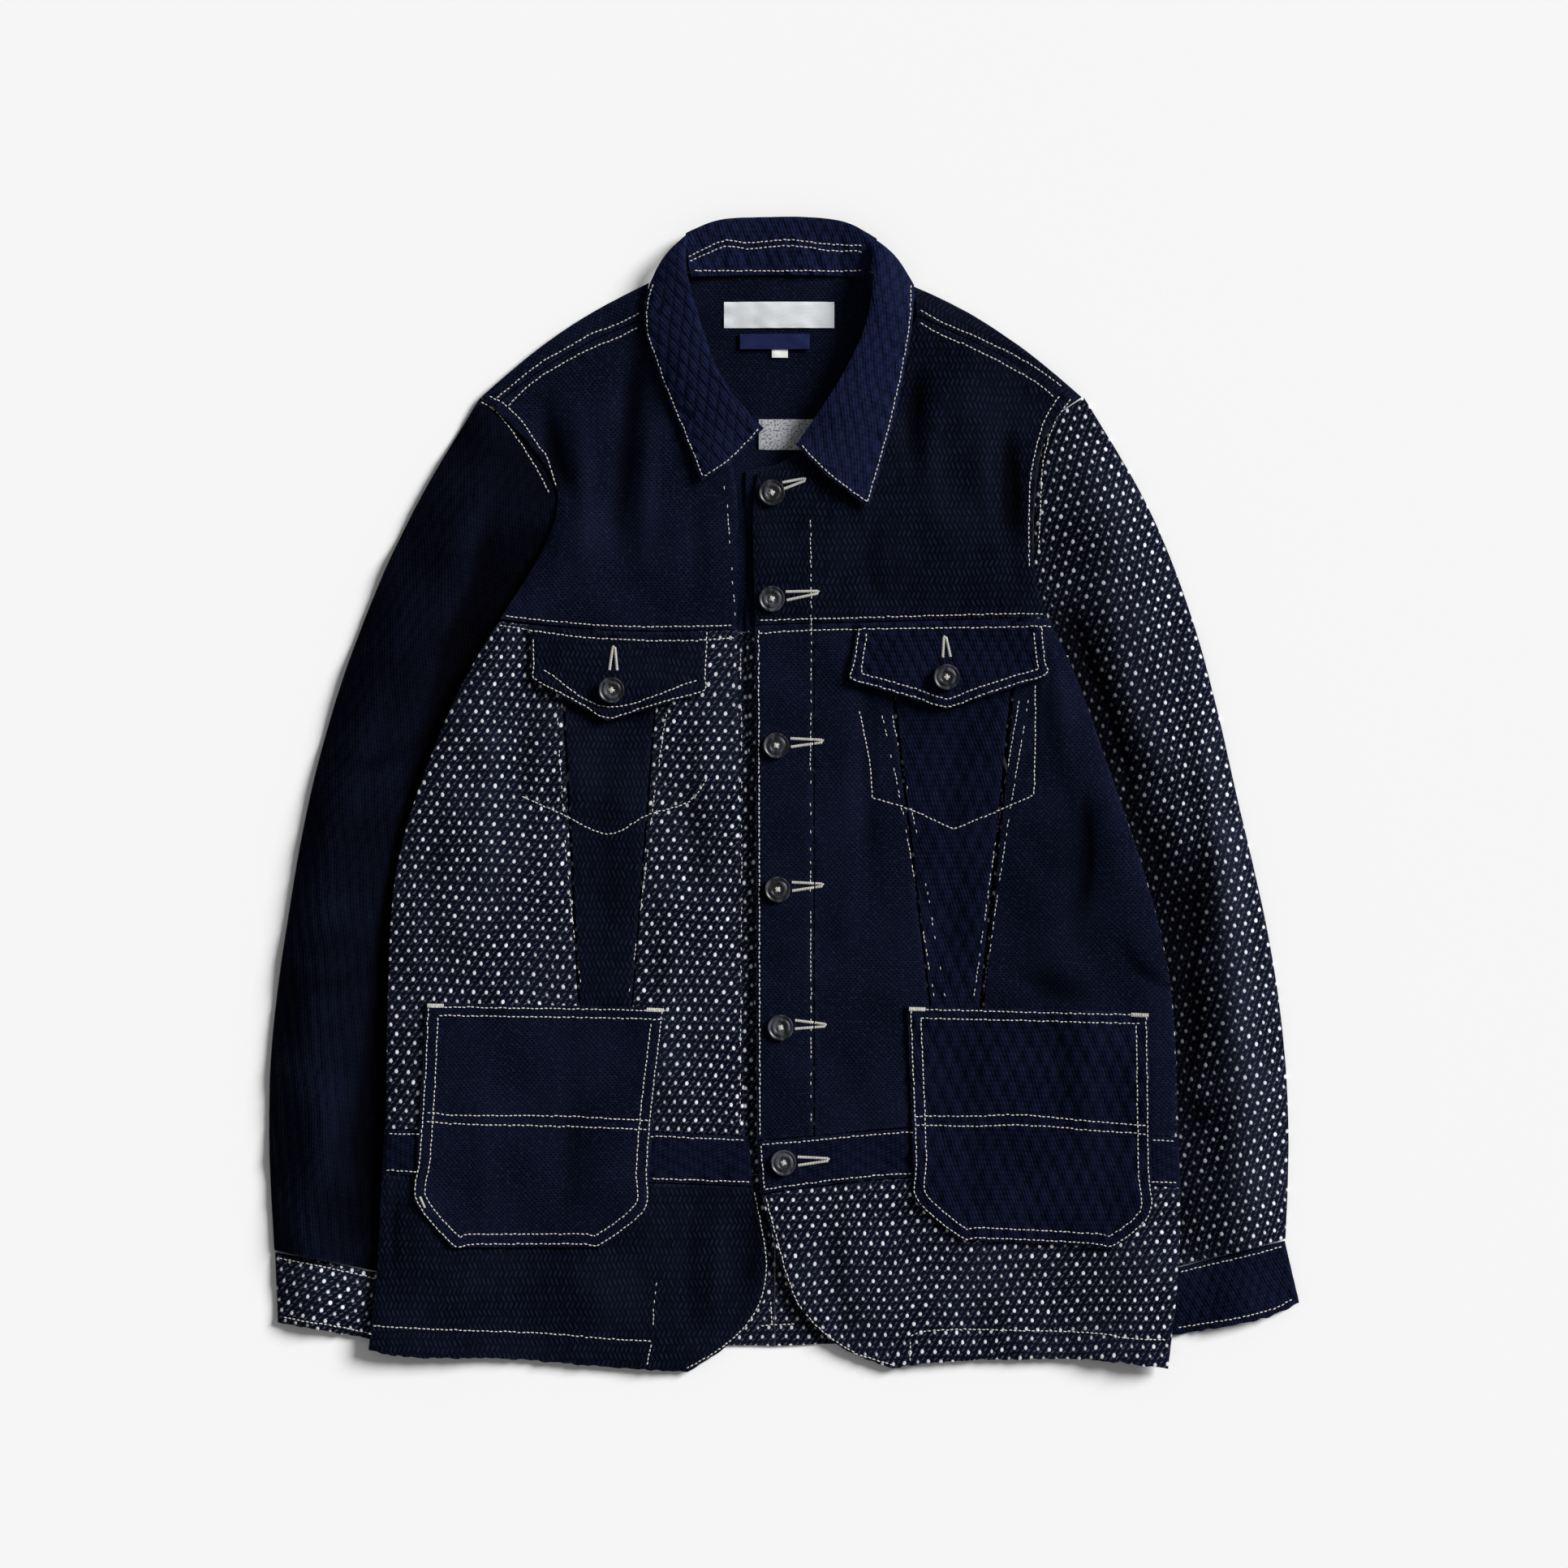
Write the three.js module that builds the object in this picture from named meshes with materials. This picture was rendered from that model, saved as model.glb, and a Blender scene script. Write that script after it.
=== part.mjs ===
// A patched boro work jacket laid flat on its back: buttoned, collar open, fronts over the sleeves' inner edges.
// Millimetres, +Z up, +Y towards the collar, origin under the middle of the jacket on the surface it lies on.
// "Left" and "right" are as seen from above, -X and +X. Every cloth piece is a wall whose upper face follows a
// height function shared with its neighbours, so that seams meet level and hidden layers stay clear.
import * as THREE from "three";

// Driving dimensions
const CLOTH = 1.6; // wall of one worn indigo cloth with its turnings
const SEAM = 0.3; // gap between pieces that are sewn edge to edge
const LABEL = 1; // wall of a woven label
const BUTTON_WIDTH = 18;
const BUTTON_THICK = 3.5;
const SLEEVE_FLAT = 4.2; // upper face of the sleeve where the body lies on it
const SLEEVE_TUCK = 4; // a sleeve's inner edge goes in past the body's edge
const BACK_OVER = 6.6; // upper face of the back where it climbs over the sleeve
const FRONT_BASE = 6.2; // upper face of the front away from its folds
const FRONT_OVER = 3.4; // how much higher the front lies above the sleeve
const FRONT_ROLL = 3.5; // puff of the soft fold along the body's side
const UNDER_PLACKET = 4.2; // upper face of the under front where the fronts overlap
const PLACKET_RISE = 1.2; // the over front's rise at the placket
const SLEEVE_PUFF = 11;
const CUFF_PUFF = 5;
const POCKET_RISE = 3.4; // upper face of a patch pocket above the panel under it
const FLAP_RISE = 3.2;
const LEAF_LOW = 11.5; // collar leaf at its outer edge
const LEAF_ROLL = 21.5; // and at its roll

// Colours
const INDIGO_DOT = 0x171f3c;
const INDIGO_FINE = 0x1b2444;
const INDIGO_CREPE = 0x10152c;
const INDIGO_QUILT = 0x182147;
const HORN = 0x1b1d24;
const ECRU = 0xc9c5be;
const PALE = 0x9a9fa8;

// Curves ------------------------------------------------------------------------------------------------------

const clamp = (value, low, high) => Math.min(high, Math.max(low, value));

function smooth(from, to, value) {
  const t = clamp((value - from) / (to - from), 0, 1);
  return t * t * (3 - 2 * t);
}

const point = ([x, y]) => new THREE.Vector2(x, y);
const spline = (...points) => new THREE.SplineCurve(points.map(point));

// Straight runs between points; knots say where along the path (0 to 1) each point lies.
class Path extends THREE.Curve {
  constructor(points, knots) {
    super();
    this.points = points.map(point);
    this.knots = knots ?? points.map((_, i) => i / (points.length - 1));
  }
  getPoint(t) {
    const i = clamp(this.knots.findIndex((knot) => knot >= t), 1, this.points.length - 1);
    const span = this.knots[i] - this.knots[i - 1];
    return this.points[i - 1].clone().lerp(this.points[i], (t - this.knots[i - 1]) / span);
  }
  getPointAt(t) {
    return this.getPoint(t);
  }
}

const straight = (from, to) => new Path([from, to]);

// A smooth edge that runs one way in y (or x), read at a place or cut to a stretch.
const EDGE_STEPS = 120;
const CUT_STEPS = 8;

class Edge {
  constructor(axis, ...points) {
    this.axis = axis;
    this.samples = spline(...points).getPoints(EDGE_STEPS);
    this.samples.sort((a, b) => a[axis] - b[axis]);
  }
  at(value) {
    const { axis, samples } = this;
    const i = clamp(samples.findIndex((sample) => sample[axis] >= value), 0, samples.length - 1);
    const high = value > samples.at(-1)[axis] ? samples.length - 1 : Math.max(1, i);
    const [a, b] = [samples[high - 1], samples[high]];
    return a.clone().lerp(b, clamp((value - a[axis]) / (b[axis] - a[axis] || 1), 0, 1));
  }
  cut(from, to, shift = 0) {
    const points = [];
    for (let i = 0; i <= CUT_STEPS; i++) {
      const sample = this.at(from + ((to - from) * i) / CUT_STEPS);
      points.push([sample.x + shift, sample.y]);
    }
    return spline(...points);
  }
}

const joined = (...curves) => {
  const points = curves.flatMap((curve, i) => curve.getPoints(CUT_STEPS).slice(i ? 1 : 0));
  return new THREE.SplineCurve(points);
};

// Outlines ----------------------------------------------------------------------------------------------------

const SHOULDER_LEFT = [-211, 274];
const SHOULDER_RIGHT = [205, 274];
const UNDERARM_LEFT = [-157, 207];
const UNDERARM_RIGHT = [171, 165];

const sides = {
  left: {
    sign: -1,
    // armhole seam, then the folded edge of the body
    body: new Edge(
      "y", SHOULDER_LEFT, [-192, 258], [-173, 237], UNDERARM_LEFT, [-166, 172], [-195, 125], [-221, 83],
      [-240, 40], [-256, 0], [-270, -51], [-274, -98], [-276, -163], [-277, -231], [-279, -263], [-282, -326],
      [-288, -382],
    ),
    outer: new Edge(
      "y", SHOULDER_LEFT, [-242, 225], [-268, 174], [-290, 124], [-309, 69], [-325, 20], [-338, -51],
      [-348, -115], [-356, -179], [-357, -235], [-353, -315],
    ),
    // the sleeve's inner edge, hidden under the body
    inner: new Edge(
      "y", UNDERARM_LEFT, [-142, 162], [-131, 101], [-184, -39], [-221, -179], [-250, -333], [-255, -379],
    ),
    underarm: 207,
    sleeveTop: 101,
    cuffSeam: { outer: [-353, -315], mid: [-324, -320], edge: [-281, -330], inner: [-250, -333] },
    cuffEdge: { outer: [-351, -364], mid: [-321, -369], edge: [-284, -376], inner: [-255, -379] },
  },
  right: {
    sign: 1,
    body: new Edge(
      "y", SHOULDER_RIGHT, [186, 262], [175, 235], [171, 200], UNDERARM_RIGHT, [177, 130], [193, 102], [208, 61],
      [226, 11], [246, -46], [263, -108], [270, -166], [270, -234], [272, -281], [270, -333], [263, -395],
    ),
    outer: new Edge(
      "y", SHOULDER_RIGHT, [238, 221], [264, 168], [283, 111], [297, 59], [310, 0], [326, -67], [339, -130],
      [344, -191], [347, -252], [344, -307],
    ),
    inner: new Edge("y", UNDERARM_RIGHT, [152, 135], [138, 101], [185, -39], [222, -179], [241, -333], [241, -375]),
    underarm: 165,
    sleeveTop: 101,
    cuffSeam: { outer: [344, -307], mid: [311, -315], edge: [268, -326], inner: [241, -333] },
    cuffEdge: { outer: [354, -350], mid: [329, -361], edge: [265, -373], inner: [241, -375] },
  },
};

const yokeSeam = {
  left: new Edge("x", [-200, 121], [-168, 117], [-116, 113], [-72, 113], [-34, 114]),
  right: new Edge("x", [-22, 117], [6, 118], [45, 119], [122, 121], [185, 122]),
};
const waistTop = {
  left: new Edge("x", [-280, -230], [-229, -230], [-162, -231], [-93, -232], [-26, -235]),
  right: new Edge("x", [-22, -238], [39, -233], [84, -229], [163, -231], [272, -235]),
};
const waistLow = {
  left: new Edge("x", [-282, -261], [-255, -262], [-184, -265], [-95, -267], [-20, -270]),
  right: new Edge("x", [-18, -275], [18, -270], [63, -265], [129, -263], [202, -266], [273, -270]),
};
const shoulderTop = {
  left: spline(SHOULDER_LEFT, [-175, 305], [-136, 332], [-94, 354]),
  right: spline([86, 352], [122, 335], [162, 309], [203, 275]),
};
const shoulderSeam = {
  left: spline([-203, 267], [-172, 291], [-136, 312], [-100, 327]),
  right: spline([90, 330], [127, 313], [153, 300], [194, 269]),
};
const hem = {
  left: spline([-288, -382], [-263, -387], [-185, -389], [-116, -395], [-68, -398]),
  right: spline([73, -395], [118, -390], [208, -389], [263, -395]),
};
const frontCorner = {
  left: spline([-68, -398], [-29, -371], [-11, -331], [-20, -270]),
  right: spline([73, -395], [51, -389], [25, -373], [4, -349], [-9, -308], [-18, -275]),
};
const PLACKET_EDGE = -22;
const PLACKET_SEAM = 19;
const PLACKET_TOP = 226;
const UNDER_EDGE = 12;

// Heights -----------------------------------------------------------------------------------------------------

// Large folds of the fronts: from, to, height, half width.
const FRONT_FOLDS = [
  [[-135, 290], [-140, 180], 3, 12],
  [[-105, 295], [-114, 175], -1.2, 8],
  [[-82, 290], [-92, 170], 2.4, 12],
  [[90, 295], [87, 238], -1, 8],
  [[120, 290], [128, 180], 3, 14],
  [[153, 254], [156, 185], -0.8, 8],
  [[-205, 60], [-222, -110], 2.4, 16],
  [[-60, 90], [-66, -110], 2, 18],
  [[52, 90], [58, -120], 2, 18],
  [[186, 40], [192, -100], 2.4, 13],
  [[207, -11], [208, -67], -0.8, 8],
  [[-236, -300], [-242, -360], 1.6, 14],
  [[215, -300], [222, -370], 1.8, 14],
];
// Large folds of the sleeves.
const SLEEVE_FOLDS = {
  left: [
    [[-232, 195], [-300, 60], 3, 12],
    [[-318, -10], [-335, -150], 2.6, 12],
    [[-300, -170], [-318, -290], 2.4, 11],
  ],
  right: [
    [[230, 190], [262, 80], 3, 12],
    [[292, 40], [312, -80], 3, 11],
    [[300, -110], [318, -270], 2.6, 12],
  ],
};

function foldAt(folds, x, y) {
  let total = 0;
  for (const [[ax, ay], [bx, by], height, width] of folds) {
    const length2 = (bx - ax) ** 2 + (by - ay) ** 2;
    const t = clamp(((x - ax) * (bx - ax) + (y - ay) * (by - ay)) / length2, 0, 1);
    const away2 = (x - ax - t * (bx - ax)) ** 2 + (y - ay - t * (by - ay)) ** 2;
    total += height * Math.exp(-away2 / (2 * width * width));
  }
  return total;
}

// How far the sleeve reaches under the body at this height up the jacket.
function coverAt(side, y) {
  if (y > side.underarm) return 0;
  return Math.max(0, side.sign * (side.body.at(y).x - side.inner.at(y).x));
}

function frontHeight(x, y) {
  const fromLeft = x - sides.left.body.at(y).x;
  const fromRight = sides.right.body.at(y).x - x;
  const side = fromLeft < fromRight ? sides.left : sides.right;
  const depth = Math.max(0, Math.min(fromLeft, fromRight));
  const cover = coverAt(side, y);
  const lifted = smooth(0, 25, cover);
  const over = lifted * (1 - smooth(cover + 14, cover + 50, depth));
  const roll = lifted * smooth(0, 12, depth) * Math.exp(-(((depth - 14) / 12) ** 2));
  const seam = -0.4 * Math.exp(-((depth / 8) ** 2)) * smooth(side.underarm + 5, side.underarm + 28, y);
  const fade = smooth(0, 14, depth);
  return FRONT_BASE + FRONT_OVER * over + FRONT_ROLL * roll + seam + fade * foldAt(FRONT_FOLDS, x, y);
}

const leftFront = (x, y) => {
  const under = smooth(-74, -38, x);
  return frontHeight(x, y) * (1 - under) + UNDER_PLACKET * under;
};

const rightFront = (x, y) => {
  const placket = 1 - smooth(26, 60, x);
  const height = Math.max(frontHeight(x, y), FRONT_BASE);
  return height * (1 - placket) + (FRONT_BASE + PLACKET_RISE) * placket;
};

function sleeveHeight(name, puff) {
  const side = sides[name];
  return (x, y) => {
    const outer = side.outer.at(y).x;
    const edge = side.body.at(y).x + side.sign * SLEEVE_TUCK;
    const across = clamp((x - outer) / (edge - outer), 0, 1);
    const arch = Math.sin(Math.PI * across ** 0.85) ** 1.3;
    const cap = smooth(4, 60, side.sign * (x - side.body.at(y).x)) + 0.25;
    return SLEEVE_FLAT + Math.max(0, arch) * Math.min(1, cap) * (puff + foldAt(SLEEVE_FOLDS[name], x, y));
  };
}

const onTable = () => CLOTH;

function backSideHeight(side) {
  return (x, y) => {
    const past = side.sign * (side.inner.at(y).x - x);
    return CLOTH + (BACK_OVER - CLOTH) * (1 - smooth(3, INNER_CLEAR - 2, past));
  };
}

// Solids ------------------------------------------------------------------------------------------------------

const fractions = (count) => Array.from({ length: count + 1 }, (_, i) => i / count);

// A grid of places between four edge curves: low and high run left to right, left and right run low to high.
function patch({ low, high, left, right, columns, rows, gap = SEAM }) {
  const us = Array.isArray(columns) ? columns : fractions(columns);
  const vs = Array.isArray(rows) ? rows : fractions(rows);
  const middle = (curve) => curve.getPointAt(0.5);
  const width = Math.min(
    middle(left).distanceTo(middle(right)),
    left.getPointAt(0).distanceTo(right.getPointAt(0)),
    left.getPointAt(1).distanceTo(right.getPointAt(1)),
  );
  const height = middle(low).distanceTo(middle(high));
  const inset = (t, size) => gap / size + t * (1 - (2 * gap) / size);
  return vs.map((row) => us.map((column) => {
    const u = inset(column, width);
    const v = inset(row, height);
    const edge = (curve, t) => curve.getPointAt(clamp(t, 0, 1));
    const across = edge(low, u).multiplyScalar(1 - v).add(edge(high, u).multiplyScalar(v));
    const along = edge(left, v).multiplyScalar(1 - u).add(edge(right, v).multiplyScalar(u));
    const corners = edge(low, 0).multiplyScalar((1 - u) * (1 - v))
      .add(edge(low, 1).multiplyScalar(u * (1 - v)))
      .add(edge(high, 0).multiplyScalar((1 - u) * v))
      .add(edge(high, 1).multiplyScalar(u * v));
    return across.add(along).sub(corners);
  }));
}

// Two grids side by side that share their middle column.
const beside = (a, b) => a.map((row, i) => [...row, ...b[i].slice(1)]);

// A cloth wall with its upper face at height(x, y), closed all round.
function clothWall(grid, height, wall = CLOTH) {
  const rows = grid.length;
  const columns = grid[0].length;
  const top = (i, j) => i * columns + j;
  const bottom = (i, j) => rows * columns + i * columns + j;
  const upper = grid.flat().map(({ x, y }) => [x, y, height(x, y)]);
  const positions = [...upper, ...upper.map(([x, y, z]) => [x, y, z - wall])].flat();
  const index = [];
  const quad = (a, b, c, d) => index.push(a, b, c, a, c, d);
  for (let i = 0; i < rows - 1; i++) {
    for (let j = 0; j < columns - 1; j++) {
      quad(top(i, j), top(i, j + 1), top(i + 1, j + 1), top(i + 1, j));
      quad(bottom(i, j), bottom(i + 1, j), bottom(i + 1, j + 1), bottom(i, j + 1));
    }
  }
  for (let j = 0; j < columns - 1; j++) {
    quad(bottom(0, j), bottom(0, j + 1), top(0, j + 1), top(0, j));
    quad(top(rows - 1, j), top(rows - 1, j + 1), bottom(rows - 1, j + 1), bottom(rows - 1, j));
  }
  for (let i = 0; i < rows - 1; i++) {
    quad(top(i, 0), top(i + 1, 0), bottom(i + 1, 0), bottom(i, 0));
    quad(bottom(i, columns - 1), bottom(i + 1, columns - 1), top(i + 1, columns - 1), top(i, columns - 1));
  }
  const geometry = new THREE.BufferGeometry();
  geometry.setAttribute("position", new THREE.Float32BufferAttribute(positions, 3));
  geometry.setIndex(index);
  return geometry;
}

const jacket = new THREE.Group();

function add(name, geometry, color, roughness = 0.9) {
  const mesh = new THREE.Mesh(geometry, new THREE.MeshStandardMaterial({ color, roughness, metalness: 0 }));
  mesh.name = name;
  jacket.add(mesh);
  return mesh;
}

// Back --------------------------------------------------------------------------------------------------------

const BACK_CENTRE = -8;
const BACK_WAIST = -262;
const BACK_HEM = -380;
const YOKE_BACK = 112;
const NECK_LEFT = [-94, 354];
const NECK_RIGHT = [86, 352];
const INNER_CLEAR = 14; // from the sleeve's inner edge to the flat of the back

function addBack() {
  const neck = spline(NECK_LEFT, [-60, 359], [-4, 360], [52, 359], NECK_RIGHT);
  const capSide = (side) => joined(
    side.inner.cut(YOKE_BACK, side.underarm, -side.sign * SEAM),
    side.body.cut(side.underarm, 274, -side.sign * SEAM),
  );
  add("back_yoke", clothWall(patch({
    low: straight([sides.left.inner.at(YOKE_BACK).x, YOKE_BACK], [sides.right.inner.at(YOKE_BACK).x, YOKE_BACK]),
    high: joined(shoulderTop.left, neck, shoulderTop.right),
    left: capSide(sides.left),
    right: capSide(sides.right),
    columns: 12,
    rows: 8,
    gap: 0.6,
  }), onTable), INDIGO_FINE);

  const inside = (side, y) => side.inner.at(y).x - side.sign * INNER_CLEAR;
  for (const [name, side] of Object.entries(sides)) {
    const wing = (low, high) => side.inner.cut(low, high, -side.sign * INNER_CLEAR);
    const half = (low, high, node, color) => {
      const centre = straight([BACK_CENTRE, low], [BACK_CENTRE, high]);
      const far = wing(low, high);
      const ends = (y) => (side.sign < 0
        ? straight([inside(side, y), y], [BACK_CENTRE, y])
        : straight([BACK_CENTRE, y], [inside(side, y), y]));
      add(node, clothWall(patch({
        low: ends(low),
        high: ends(high),
        left: side.sign < 0 ? far : centre,
        right: side.sign < 0 ? centre : far,
        columns: 4,
        rows: 6,
      }), onTable), color);
    };
    half(BACK_WAIST, YOKE_BACK, `back_${name}`, INDIGO_DOT);
    half(BACK_HEM, BACK_WAIST, `back_skirt_${name}`, INDIGO_DOT);

    // the side of the back climbs over the sleeve and out to the body's folded edge
    const top = 96;
    const inset = -side.sign * 1.5;
    const shelf = side.inner.cut(BACK_HEM + 1, top, -side.sign * 3);
    const fold = side.body.cut(BACK_HEM + 1, top, inset);
    const foot = side.inner.cut(BACK_HEM + 1, top, -side.sign * (INNER_CLEAR - 2));
    const strip = (left, right, columns) => patch({
      low: new Path([left.getPoint(0).toArray(), right.getPoint(0).toArray()]),
      high: new Path([left.getPoint(1).toArray(), right.getPoint(1).toArray()]),
      left,
      right,
      columns,
      rows: 12,
      gap: 0,
    });
    const grid = side.sign < 0
      ? beside(strip(fold, shelf, 2), strip(shelf, foot, 2))
      : beside(strip(foot, shelf, 2), strip(shelf, fold, 2));
    add(`back_side_${name}`, clothWall(grid, backSideHeight(side)), INDIGO_DOT);
  }
}

// Sleeves -----------------------------------------------------------------------------------------------------

function sleeveGrid(side, widths, rows, ends) {
  const { top, low } = ends;
  const outer = side.outer.cut(low.outer[1], SHOULDER_LEFT[1]);
  const edge = side.body.cut(low.edge[1], side.underarm);
  const inner = side.inner.cut(low.inner[1], side.sleeveTop, side.sign * 0.6);
  const flip = (curve) => new THREE.SplineCurve(curve.getPoints(CUT_STEPS).reverse());
  const at = (curve, t) => curve.getPoint(t).toArray();
  const endOuter = spline(at(outer, 0), low.mid, at(edge, 0));
  const endInner = straight(at(edge, 0), at(inner, 0));
  const left = side.sign < 0;
  const shownPatch = patch({
    low: left ? endOuter : flip(endOuter),
    high: left ? top.cap : flip(top.cap),
    left: left ? outer : edge,
    right: left ? edge : outer,
    columns: widths[0],
    rows,
    gap: 0,
  });
  const hiddenPatch = patch({
    low: left ? endInner : flip(endInner),
    high: left ? top.hidden : flip(top.hidden),
    left: left ? edge : inner,
    right: left ? inner : edge,
    columns: widths[1],
    rows,
    gap: 0,
  });
  return left ? beside(shownPatch, hiddenPatch) : beside(hiddenPatch, shownPatch);
}

function addSleeves() {
  const CAP_GAP = 1.5;
  const CUFF_GAP = 1.2;
  for (const [name, side] of Object.entries(sides)) {
    const out = side.sign * CAP_GAP;
    const lift = ([x, y]) => [x, y + CUFF_GAP];
    const { outer, mid, edge, inner } = side.cuffSeam;
    const low = { outer: lift(outer), mid: lift(mid), edge: lift(edge), inner: lift(inner) };
    const armhole = new THREE.SplineCurve(
      side.body.cut(side.underarm, SHOULDER_LEFT[1], out).getPoints(CUT_STEPS).reverse(),
    );
    const hidden = new THREE.SplineCurve(
      side.inner.cut(side.sleeveTop, side.underarm, out).getPoints(CUT_STEPS).reverse(),
    );
    const top = { cap: armhole, hidden };
    const color = side.sign < 0 ? INDIGO_QUILT : INDIGO_DOT;
    const upper = sleeveGrid(side, [6, 2], 14, { top, low });
    const under = sleeveGrid(side, [3, 2], 10, { top, low });
    add(`sleeve_${name}_top`, clothWall(upper, sleeveHeight(name, SLEEVE_PUFF)), color);
    add(`sleeve_${name}_under`, clothWall(under, onTable), color);

    const cuff = (columns, rows) => {
      const { cuffSeam, cuffEdge } = side;
      const ends = (marks) => {
        const points = [marks.outer, marks.mid, marks.edge, marks.inner];
        return spline(...(side.sign < 0 ? points : points.reverse()));
      };
      const outer = straight(cuffEdge.outer, cuffSeam.outer);
      const inner = straight(cuffEdge.inner, cuffSeam.inner);
      return patch({
        low: ends(cuffEdge),
        high: ends(cuffSeam),
        left: side.sign < 0 ? outer : inner,
        right: side.sign < 0 ? inner : outer,
        columns,
        rows,
        gap: 0.5,
      });
    };
    const cuffColor = side.sign < 0 ? INDIGO_DOT : INDIGO_QUILT;
    add(`cuff_${name}_top`, clothWall(cuff(8, 3), sleeveHeight(name, CUFF_PUFF)), cuffColor);
    add(`cuff_${name}_under`, clothWall(cuff(4, 2), onTable), cuffColor);
  }
}

// Fronts ------------------------------------------------------------------------------------------------------

const wedge = {
  left: { top: [-156, -86], waist: [-138, -113] },
  right: { top: [67, 161], waist: [109, 125] },
};

function addYokes() {
  const { left, right } = sides;
  add("yoke_left", clothWall(patch({
    low: yokeSeam.left.cut(-196, -34),
    high: shoulderSeam.left,
    left: left.body.cut(121, 267),
    right: spline([-34, 114], [-33, 170], [-36, PLACKET_TOP], [-62, 262], [-86, 300], [-100, 327]),
    columns: 9,
    rows: [0, 0.1, 0.2, 0.3, 0.4, 0.5, 0.585, 0.68, 0.78, 0.89, 1],
  }), leftFront), INDIGO_FINE);
  add("yoke_right", clothWall(patch({
    low: yokeSeam.right.cut(-22, 180),
    high: shoulderSeam.right,
    left: spline([-22, 117], [-23, 160], [-24, 205], [-20, 222], [30, 246], [66, 282], [90, 330]),
    right: right.body.cut(122, 269, -0.5),
    columns: 10,
    rows: 10,
  }), rightFront), INDIGO_CREPE);

  // the back yoke's edge comes over the shoulder to the seam
  const strapHeight = (name) => (x, y) => {
    const seam = name === "left" ? leftFront(x, y) : rightFront(x, y);
    const outline = shoulderTop[name].getPoints(12);
    const away = Math.min(...outline.map((mark) => Math.hypot(mark.x - x, mark.y - y)));
    return 4 + (seam - 4) * smooth(0, 16, away);
  };
  add("shoulder_left", clothWall(patch({
    low: shoulderSeam.left,
    high: shoulderTop.left,
    left: straight([-203, 267], SHOULDER_LEFT),
    right: straight([-100, 327], [-94, 354]),
    columns: 9,
    rows: 2,
    gap: 0.4,
  }), strapHeight("left")), INDIGO_FINE);
  add("shoulder_right", clothWall(patch({
    low: shoulderSeam.right,
    high: shoulderTop.right,
    left: straight([90, 330], [86, 352]),
    right: straight([194, 269], [203, 275]),
    columns: 9,
    rows: 2,
    gap: 0.4,
  }), strapHeight("right")), INDIGO_CREPE);
}

// One vertical panel of a front, between two lines that run from the yoke seam to the waistband.
function frontPanel(node, name, leftLine, rightLine, columns, color) {
  const height = name === "left" ? leftFront : rightFront;
  const ends = (seam, from, to) => seam[name].cut(from.x, to.x);
  add(node, clothWall(patch({
    low: ends(waistTop, leftLine.getPoint(0), rightLine.getPoint(0)),
    high: ends(yokeSeam, leftLine.getPoint(1), rightLine.getPoint(1)),
    left: leftLine,
    right: rightLine,
    columns,
    rows: 12,
    gap: 0.4,
  }), height), color);
}

function seamLine(name, waistX, topX) {
  const low = waistTop[name].at(waistX);
  const high = yokeSeam[name].at(topX);
  return straight(low.toArray(), high.toArray());
}

function sideLine(name) {
  const { body, sign } = sides[name];
  const low = waistTop[name].at(sign * 275).y;
  const high = yokeSeam[name].at(sign * 190).y;
  return body.cut(low, high);
}

function addFronts() {
  const line = (name, waistX, topX) => seamLine(name, waistX, topX);
  const { left, right } = wedge;
  frontPanel("front_side_left", "left", sideLine("left"), line("left", left.waist[0], left.top[0]), 7, INDIGO_DOT);
  frontPanel("wedge_left", "left", line("left", left.waist[0], left.top[0]),
    line("left", left.waist[1], left.top[1]), 3, INDIGO_CREPE);
  frontPanel("front_centre_left", "left", line("left", left.waist[1], left.top[1]),
    line("left", -28, -34), 5, INDIGO_DOT);
  frontPanel("front_centre_right", "right", line("right", PLACKET_SEAM, PLACKET_SEAM),
    line("right", right.waist[0], right.top[0]), 5, INDIGO_FINE);
  frontPanel("wedge_right", "right", line("right", right.waist[0], right.top[0]),
    line("right", right.waist[1], right.top[1]), 3, INDIGO_QUILT);
  frontPanel("front_side_right", "right", line("right", right.waist[1], right.top[1]),
    sideLine("right"), 7, INDIGO_FINE);
  frontPanel("placket", "right", line("right", PLACKET_EDGE + 1, PLACKET_EDGE),
    line("right", PLACKET_SEAM, PLACKET_SEAM), 2, INDIGO_FINE);
  add("placket_under", clothWall(patch({
    low: straight([-17, -270], [UNDER_EDGE, -270]),
    high: straight([-26, PLACKET_TOP - 2], [UNDER_EDGE, PLACKET_TOP + 6]),
    left: new Path([[-17, -270], [-21, -232], [-29, 114], [-29, PLACKET_TOP - 2]], [0, 0.1, 0.75, 1]),
    right: straight([UNDER_EDGE, -270], [UNDER_EDGE, PLACKET_TOP + 6]),
    columns: 2,
    rows: [0, 0.1, 0.3, 0.5, 0.75, 0.88, 1],
    gap: 0.6,
  }), () => UNDER_PLACKET), INDIGO_DOT);
}

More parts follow.
